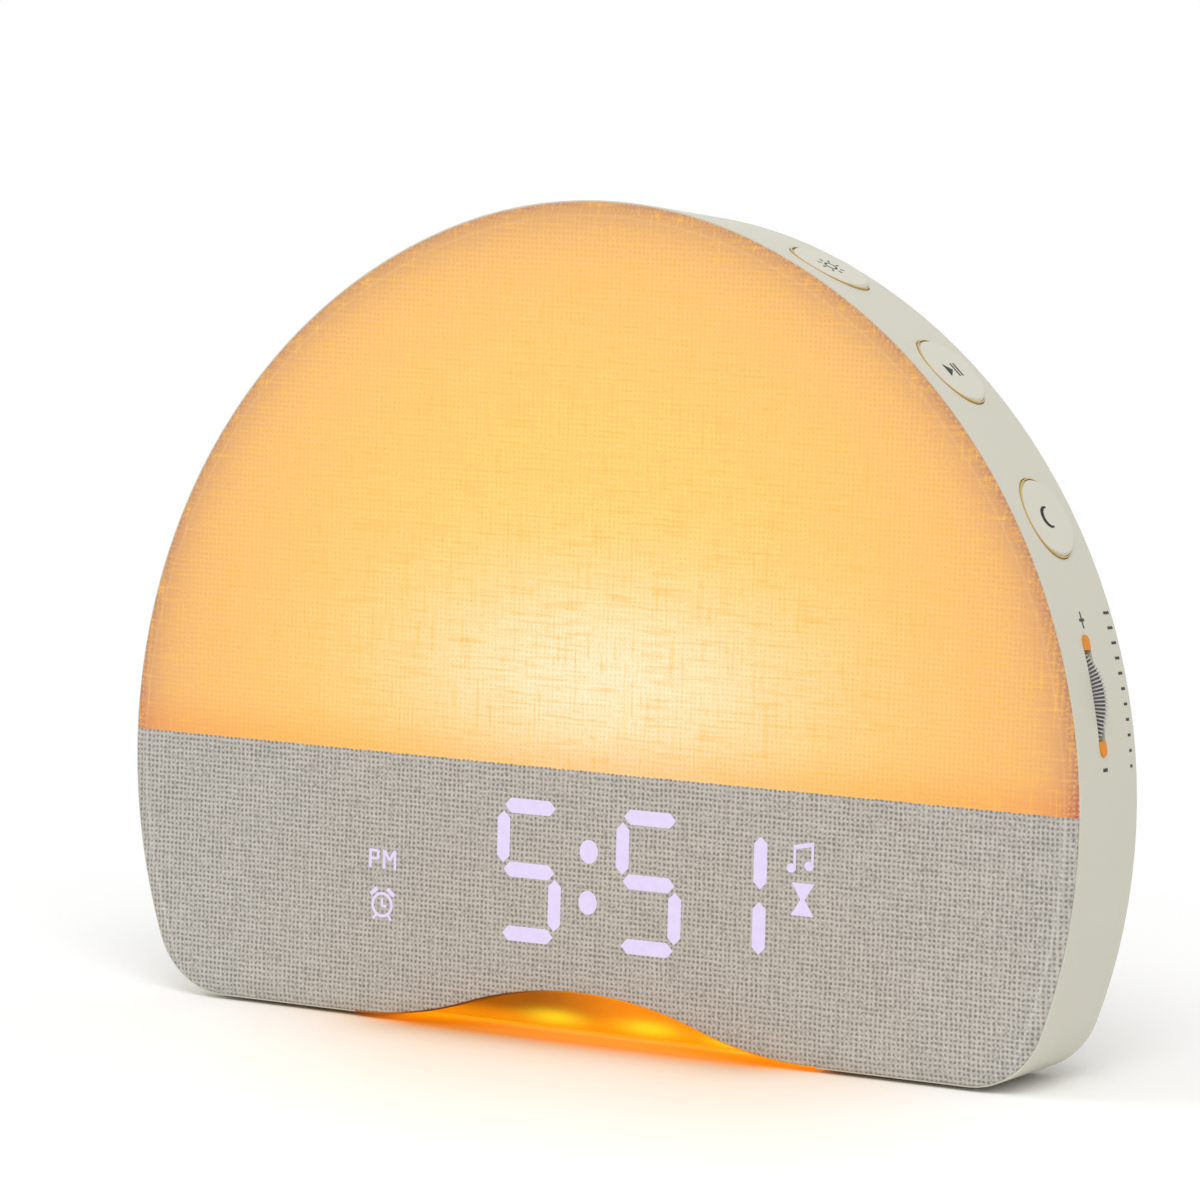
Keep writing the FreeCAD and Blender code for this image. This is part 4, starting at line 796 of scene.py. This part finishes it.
class CLOCK_OT_display(bpy.types.Operator):
    """The lit bars of the time, the two dots between hours and minutes, and the small signs beside them"""

    bl_idname = "clock.display"
    bl_label = "Display"

    def execute(self, context):
        display = context.scene.clock_display
        height = context.scene.clock_outline.base_height + display.height
        self.middle = Vector((display.shift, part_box("front_fabric")[0].y, height))
        self.material = light_source("display_light_look", (0.06, 0.05, 0.08), tuple(display.light), 0.97)
        for name, digit, offset in DIGITS:
            signs = Signs()
            for part in SEGMENTS[digit]:
                self.segment(signs, display, part, offset)
            self.show("digit_" + name, signs)
        dots = Signs()
        for side in (-1, 1):
            dots.disc(0.0, side * 4.6, 1.95, 1.1)
        self.show("colon_dots", dots)
        self.show("sign_note", self.note(44.3, 7.6))
        self.show("sign_sand_glass", self.sand_glass(44.6, 0.1))
        self.show("sign_afternoon", self.afternoon(-44.6, -0.7))
        self.show("sign_bell_clock", self.bell_clock(-44.5, -9.0))
        return {"FINISHED"}

    def show(self, name, signs):
        plate = signs.set_on(name, self.middle, X_AXIS, Z_AXIS, self.material)
        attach(plate, "case")

    @staticmethod
    def segment(signs, display, part, x):
        pitch = display.bar_pitch / MM
        levels = {"top": pitch, "middle": 0.0, "bottom": -pitch}
        if part in levels:
            signs.bar(x, levels[part], display.bar_length / MM, display.bar_width / MM)
            return
        side = -1 if part.endswith("left") else 1
        level = 0.5 if part.startswith("upper") else -0.5
        across = x + side * display.bar_reach / MM
        signs.bar(across, level * pitch, display.bar_rise / MM, display.bar_width / MM, upright=True)

    @staticmethod
    def note(x, y):
        signs = Signs()
        signs.strokes(x, y, (-1.5, -2.0, -1.5, 1.6, 0.5), (2.1, -1.4, 2.1, 2.3, 0.5))
        signs.corners((x - 1.75, y + 1.2), (x + 2.35, y + 2.0), (x + 2.35, y + 2.8), (x - 1.75, y + 2.0))
        signs.disc(x - 2.2, y - 2.1, 0.95, 0.85)
        signs.disc(x + 1.4, y - 1.5, 0.95, 0.85)
        return signs

    @staticmethod
    def sand_glass(x, y):
        signs = Signs()
        for way in (-1, 1):
            places = [(-2.4, 2.9), (-1.8, 2.1), (-0.45, 0.0), (0.45, 0.0), (1.8, 2.1), (2.4, 2.9)]
            signs.corners(*[(x + a, y + way * b) for a, b in places])
        return signs

    @staticmethod
    def afternoon(x, y):
        """The letters P and M, as on any twelve-hour display."""
        signs = Signs()
        signs.strokes(
            x, y,
            (-2.7, -1.75, -2.7, 1.75, 0.55), (-2.45, 1.5, -1.2, 1.5, 0.5),
            (-2.45, 0.0, -1.2, 0.0, 0.5), (-1.0, -0.1, -1.0, 1.6, 0.55),
            (0.35, -1.75, 0.35, 1.75, 0.55), (2.75, -1.75, 2.75, 1.75, 0.55),
            (0.5, 1.55, 1.55, -0.2, 0.55), (1.55, -0.2, 2.6, 1.55, 0.55),
        )
        return signs

    @staticmethod
    def bell_clock(x, y):
        signs = Signs()
        signs.ring(x, y - 0.1, 2.35, 0.55)
        signs.strokes(
            x, y,
            (0.0, -0.3, 0.0, 1.1, 0.45), (-0.2, -0.3, 1.0, -0.3, 0.45),
            (-1.3, -2.0, -2.0, -2.8, 0.5), (1.3, -2.0, 2.0, -2.8, 0.5),
            (-2.6, 1.7, -1.1, 2.9, 0.75), (2.6, 1.7, 1.1, 2.9, 0.75),
        )
        return signs


class CLOCK_OT_side(bpy.types.Operator):
    """Rings and signs of the buttons, and the printed marks by the wheel"""

    bl_idname = "clock.side"
    bl_label = "Side marks and button rings"

    def execute(self, context):
        side = context.scene.clock_side
        sizes = context.scene.clock_outline
        outline = Outline(sizes)
        ink = moulded("printed_ink_look", tuple(side.print_colour), 0.6, 0.2 * MM)
        ring = moulded("button_ring_look", tuple(side.ring_colour), 0.3, 0.2 * MM, specular=0.6)
        drawings = {"upper": self.sun(), "middle": self.play_and_pause(), "lower": self.moon()}
        for name, angle in BUTTON_ANGLES.items():
            seat = SideSeat(outline, sizes, math.radians(angle), side.button_setback)
            body = name + "_key"
            bm = bmesh.new()
            inner = side.button_radius + side.ring_gap
            outer = inner + side.ring_width
            foot = -0.6 * MM
            profile = [(inner, foot), (outer, foot), (outer, 0.04 * MM), (inner, 0.1 * MM)]
            turned(bm, profile, seat.point, seat.skin, 96)
            hoop = mesh_object("%s_button_ring" % name, bm, ring)
            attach(hoop, "case")
            face = seat.point + seat.outward * side.button_proud
            sign = drawings[name].set_on("%s_button_sign" % name, face, Y_AXIS, seat.up, ink, 0.02, 0.08)
            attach(sign, body)
        self.marks(outline, sizes, ink)
        self.slot_ends(outline, sizes, side)
        return {"FINISHED"}

    def slot_ends(self, outline, sizes, side):
        """Amber plugs, rounded at one end, that fill the slot above and below the wheel."""
        amber = amber_guide("slot_end_look")
        seat = SideSeat(outline, sizes, side.dial_angle, side.dial_setback)
        width = 2.76 * MM
        length = 2.6 * MM
        thickness = 0.6 * MM
        sunk = 0.48 * MM
        end_gap = 0.08 * MM
        reach = side.slot_half - end_gap - length / 2
        for name, way in (("upper", 1), ("lower", -1)):
            middle = seat.point + seat.up * way * reach - seat.skin * sunk
            turn = Matrix((seat.along, seat.up * way, seat.skin * way)).transposed().to_4x4()
            bm = bmesh.new()
            bmesh.ops.create_cube(bm, size=1.0, matrix=Matrix.Diagonal((width, length, thickness, 1.0)))
            far = [e for e in bm.edges if all(v.co.y > 0 for v in e.verts)]
            corners = [e for e in far if e.verts[0].co.x == e.verts[1].co.x]
            bmesh.ops.bevel(
                bm, geom=corners, offset=width / 2 - 0.02 * MM, offset_type="OFFSET", segments=8,
                profile=0.5, affect="EDGES", clamp_overlap=True, material=-1,
            )
            bmesh.ops.transform(bm, matrix=Matrix.Translation(middle) @ turn, verts=bm.verts)
            bmesh.ops.recalc_face_normals(bm, faces=bm.faces)
            plug = mesh_object(name + "_slot_end", bm, amber)
            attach(plug, "case")

    def marks(self, outline, sizes, ink):
        """A plus and a minus at the wheel's ends, and a row of ticks that grow upward beside it."""
        plus = Signs()
        plus.stroke((0.0, -1.5), (0.0, 1.5), 0.42)
        plus.stroke((-1.0, 0.0), (-0.21, 0.0), 0.5)
        plus.stroke((0.21, 0.0), (1.0, 0.0), 0.5)
        self.mark("mark_plus", plus, outline, sizes, 19.8, 11.6, ink)
        minus = Signs()
        minus.stroke((-0.95, 0.0), (0.95, 0.0), 0.62)
        self.mark("mark_minus", minus, outline, sizes, 5.4, 11.3, ink)
        ticks = 11
        for index in range(ticks):
            tick = Signs()
            reach = 0.45 + 0.07 * index
            tick.stroke((-reach, 0.0), (reach, 0.0), 0.5)
            self.mark("mark_tick_%02d" % index, tick, outline, sizes, 5.3 + 1.5 * index, 22.9, ink)

    @staticmethod
    def mark(name, signs, outline, sizes, angle, setback, ink):
        seat = SideSeat(outline, sizes, math.radians(angle), setback * MM)
        plate = signs.set_on(name, seat.point, seat.along, seat.up, ink, 0.03, 0.12)
        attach(plate, "case")

    @staticmethod
    def sun():
        signs = Signs()
        signs.ring(0.0, 0.0, 1.3, 0.4)
        for index in range(8):
            way = Vector((math.cos(index * math.pi / 4), math.sin(index * math.pi / 4)))
            signs.stroke(way * 1.8, way * 2.6, 0.4)
        return signs

    @staticmethod
    def play_and_pause():
        signs = Signs()
        signs.corners((-2.0, -1.5), (0.1, 0.0), (-2.0, 1.5))
        signs.stroke((0.9, -1.5), (0.9, 1.5), 0.5)
        signs.stroke((1.9, -1.5), (1.9, 1.5), 0.5)
        return signs

    @staticmethod
    def moon():
        """A crescent between two arcs, drawn as short strokes that thin toward its tips."""
        signs = Signs()
        count = 14
        for index in range(count):
            share = (index + 0.5) / count
            angle = math.radians(70 + 220 * share)
            width = 0.25 + 0.75 * math.sin(math.pi * share)
            middle = Vector((math.cos(angle), math.sin(angle))) * (2.1 - width / 2)
            along = Vector((-math.sin(angle), math.cos(angle))) * 0.33
            signs.stroke(middle - along, middle + along, width)
        return signs


class CLOCK_OT_thumbwheel(bpy.types.Operator):
    """The thumbwheel with its rounded, ribbed rim"""

    bl_idname = "clock.thumbwheel"
    bl_label = "Thumbwheel"

    def execute(self, context):
        side = context.scene.clock_side
        sizes = context.scene.clock_outline
        seat = SideSeat(Outline(sizes), sizes, side.dial_angle, side.dial_setback)
        centre = seat.point - seat.outward * (side.dial_radius - side.dial_proud) + Y_AXIS * side.dial_shift
        low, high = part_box("dial_axle")
        bore = (high.z - low.z) / 2
        half = side.dial_thickness / 2
        rim = side.dial_radius
        hub = half + 0.6 * MM
        hub_radius = 3.4 * MM
        # Half of the wheel's section, from its bore over the hub to the crown of its rounded rim
        section = [
            (bore + 0.02 * MM, hub),
            (hub_radius, hub),
            (hub_radius, half),
            (rim - 1.9 * MM, half),
            (rim - 1.2 * MM, half * 0.90),
            (rim - 0.55 * MM, half * 0.66),
            (rim - 0.14 * MM, half * 0.34),
            (rim, 0.0),
        ]
        profile = section + [(radius, -height) for radius, height in reversed(section[:-1])]
        columns = 4
        grooved = (0, 1)
        groove_reach = 2.0 * MM
        groove_ease = 0.9 * MM
        groove_depth = 0.5 * MM
        bm = bmesh.new()
        turned(bm, profile, centre, Y_AXIS, side.dial_ribs * columns)
        groove_shade = bm.verts.layers.float.new("groove_shade")
        step = math.tau / (side.dial_ribs * columns)
        first = Y_AXIS.orthogonal().normalized()
        for vert in bm.verts:
            out = vert.co - centre
            out.y = 0.0
            angle = math.atan2(out.dot(Y_AXIS.cross(first)), out.dot(first))
            column = round(angle / step) % columns
            ribbed = out.length - (rim - groove_reach)
            if ribbed > 0.0 and column in grooved:
                depth = min(1.0, ribbed / groove_ease)
                # Marks the groove for the painted shade of the wheel's finish
                vert[groove_shade] = 1.0
                vert.co -= out.normalized() * groove_depth * depth
                vert.co.y += (centre.y - vert.co.y) * 0.16 * depth
        wheel = mesh_object("ribbed_wheel", bm, ribbed_wheel_look(), sharp_angle=28)
        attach(wheel, "dial")
        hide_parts("dial_wheel")
        return {"FINISHED"}


class CLOCK_OT_stage(bpy.types.Operator):
    """Floor, sky, lamps and camera"""

    bl_idname = "clock.stage"
    bl_label = "Stage"

    def execute(self, context):
        stage = context.scene.clock_stage
        self.floor(stage)
        self.sky(context, stage)
        self.lamp(context, "key", (0.75, -1.1, 1.15), 0.9, 13.0)
        self.lamp(context, "fill", (-1.2, -0.7, 0.8), 1.1, 5.0)
        self.camera(context, stage)
        context.scene.view_settings.view_transform = "Standard"
        return {"FINISHED"}

    def floor(self, stage):
        bm = bmesh.new()
        bmesh.ops.create_circle(bm, cap_ends=True, radius=1.2, segments=96)
        floor = mesh_object("floor", bm, self.floor_look(stage), smooth=False)

    @staticmethod
    def floor_look(stage):
        """Pale, with the night light's glow painted on it before the arch and under it, and clear farther
        out, where the white behind it shows.
        """
        finish = Finish("floor_look")
        x, y, _ = finish.axes()
        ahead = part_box("case_shell")[0].y - y
        # Painted pool of the night light's glow, spread on the floor ahead of the arch
        spread = (x - ahead * 0.62).window(-88 * MM, -25 * MM, 20 * MM, 88 * MM)
        near = ahead.at_least(0.0)
        front = ahead.ramp(-14 * MM, -6 * MM)
        glow = (near.bell(0.0, 80 * MM) * 0.30 + near.fade(14 * MM) * 0.5) * front * spread
        # Painted glow, deep orange, close before the lens
        close = near.fade(6 * MM) * front * 0.85 * x.window(-52 * MM, -34 * MM, 34 * MM, 52 * MM)
        tone = finish.mix(glow.at_most(1.0), tuple(stage.floor), tuple(stage.glow))
        tone = finish.mix(close, tone, (0.62, 0.20, 0.01))
        pale = finish.node("BsdfDiffuse", None, {"Color": tone})
        # Painted glow under the arch, given off by the floor itself
        under = ahead.window(-30 * MM, -22 * MM, -8 * MM, 7 * MM)
        under = under * x.window(-49 * MM, -40 * MM, 40 * MM, 49 * MM)
        painted_under_glow = finish.mix(under, (0.0, 0.0, 0.0), (0.66, 0.185, 0.0))
        warm = finish.node("Emission", None, {"Color": painted_under_glow})
        lit = finish.node("AddShader", None, {0: pale, 1: warm})
        clear = finish.node("BsdfTransparent")
        away = (x * x + y * y).root().ramp(0.12, 0.28)
        shown = finish.node("MixShader", None, {0: away, 1: lit, 2: clear})
        finish.node("OutputMaterial", None, {"Surface": shown})
        return finish.block

    @staticmethod
    def sky(context, stage):
        """Even light, with a plain white to be seen behind the clock and in its reflections."""
        finish = Finish("studio", "worlds")
        shown = finish.node("Background", None, {"Strength": 1.0, "Color": (1.0, 1.0, 1.0)})
        light = finish.node("Background", None, {"Strength": stage.sky, "Color": (1.0, 0.995, 0.985)})
        seen = finish.node("LightPath", output="Is Camera Ray")
        for ray in ("Is Glossy Ray", "Is Transmission Ray"):
            seen = seen.at_least(finish.node("LightPath", output=ray))
        both = finish.node("MixShader", None, {0: seen, 1: light, 2: shown})
        finish.node("OutputWorld", None, {"Surface": both})
        context.scene.world = finish.block

    @staticmethod
    def lamp(context, name, place, size, power):
        light = bpy.data.lights.new(name, "AREA")
        light.size = size
        light.energy = power
        lamp = bpy.data.objects.new(name, light)
        lamp.location = place
        aim = Vector((0.0, 0.0, 0.07)) - Vector(place)
        lamp.rotation_euler = aim.to_track_quat("-Z", "Y").to_euler()
        context.scene.collection.objects.link(lamp)

    @staticmethod
    def camera(context, stage):
        """The photo's viewpoint: an aim on the rim's front plane, seen from the right and a little above."""
        level = math.cos(stage.elevation)
        back = Vector((
            math.sin(stage.azimuth) * level, -math.cos(stage.azimuth) * level, math.sin(stage.elevation)
        ))
        across = (-back).cross(Z_AXIS).normalized()
        up = across.cross(-back)
        turned_across = across * math.cos(stage.roll) + up * math.sin(stage.roll)
        turned_up = up * math.cos(stage.roll) - across * math.sin(stage.roll)
        aim = Vector((stage.aim_x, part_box("case_shell")[0].y, stage.aim_z))
        data = bpy.data.cameras.new("camera")
        data.lens = stage.focal_length
        data.sensor_width = 36.0
        data.clip_start = 0.01
        camera = bpy.data.objects.new("camera", data)
        turn = Matrix((turned_across, turned_up, back)).transposed().to_4x4()
        camera.matrix_world = Matrix.Translation(aim + back * stage.distance) @ turn
        context.scene.collection.objects.link(camera)
        context.scene.camera = camera


class CLOCK_PT_pieces(bpy.types.Panel):
    """Lists the clock's pieces"""

    bl_idname = "CLOCK_PT_pieces"
    bl_label = "Sunrise Clock"
    bl_space_type = "VIEW_3D"
    bl_region_type = "UI"
    bl_category = "Clock"

    def draw(self, context):
        for operator in OPERATORS:
            self.layout.operator(operator.bl_idname)


GROUPS = {
    "clock_outline": ClockOutline,
    "clock_cloth": ClockCloth,
    "clock_display": ClockDisplay,
    "clock_side": ClockSide,
    "clock_stage": ClockStage,
}
OPERATORS = (
    CLOCK_OT_finishes,
    CLOCK_OT_cloth,
    CLOCK_OT_display,
    CLOCK_OT_side,
    CLOCK_OT_thumbwheel,
    CLOCK_OT_stage,
)


def register():
    for cls in (*GROUPS.values(), *OPERATORS, CLOCK_PT_pieces):
        bpy.utils.register_class(cls)
    for name, group in GROUPS.items():
        setattr(bpy.types.Scene, name, bpy.props.PointerProperty(type=group))


def unregister():
    for name in GROUPS:
        delattr(bpy.types.Scene, name)
    for cls in reversed((*GROUPS.values(), *OPERATORS, CLOCK_PT_pieces)):
        bpy.utils.unregister_class(cls)


def main():
    register()
    bpy.ops.clock.finishes()
    bpy.ops.clock.cloth()
    bpy.ops.clock.display()
    bpy.ops.clock.side()
    bpy.ops.clock.thumbwheel()
    bpy.ops.clock.stage()


if __name__ == "__main__":
    main()
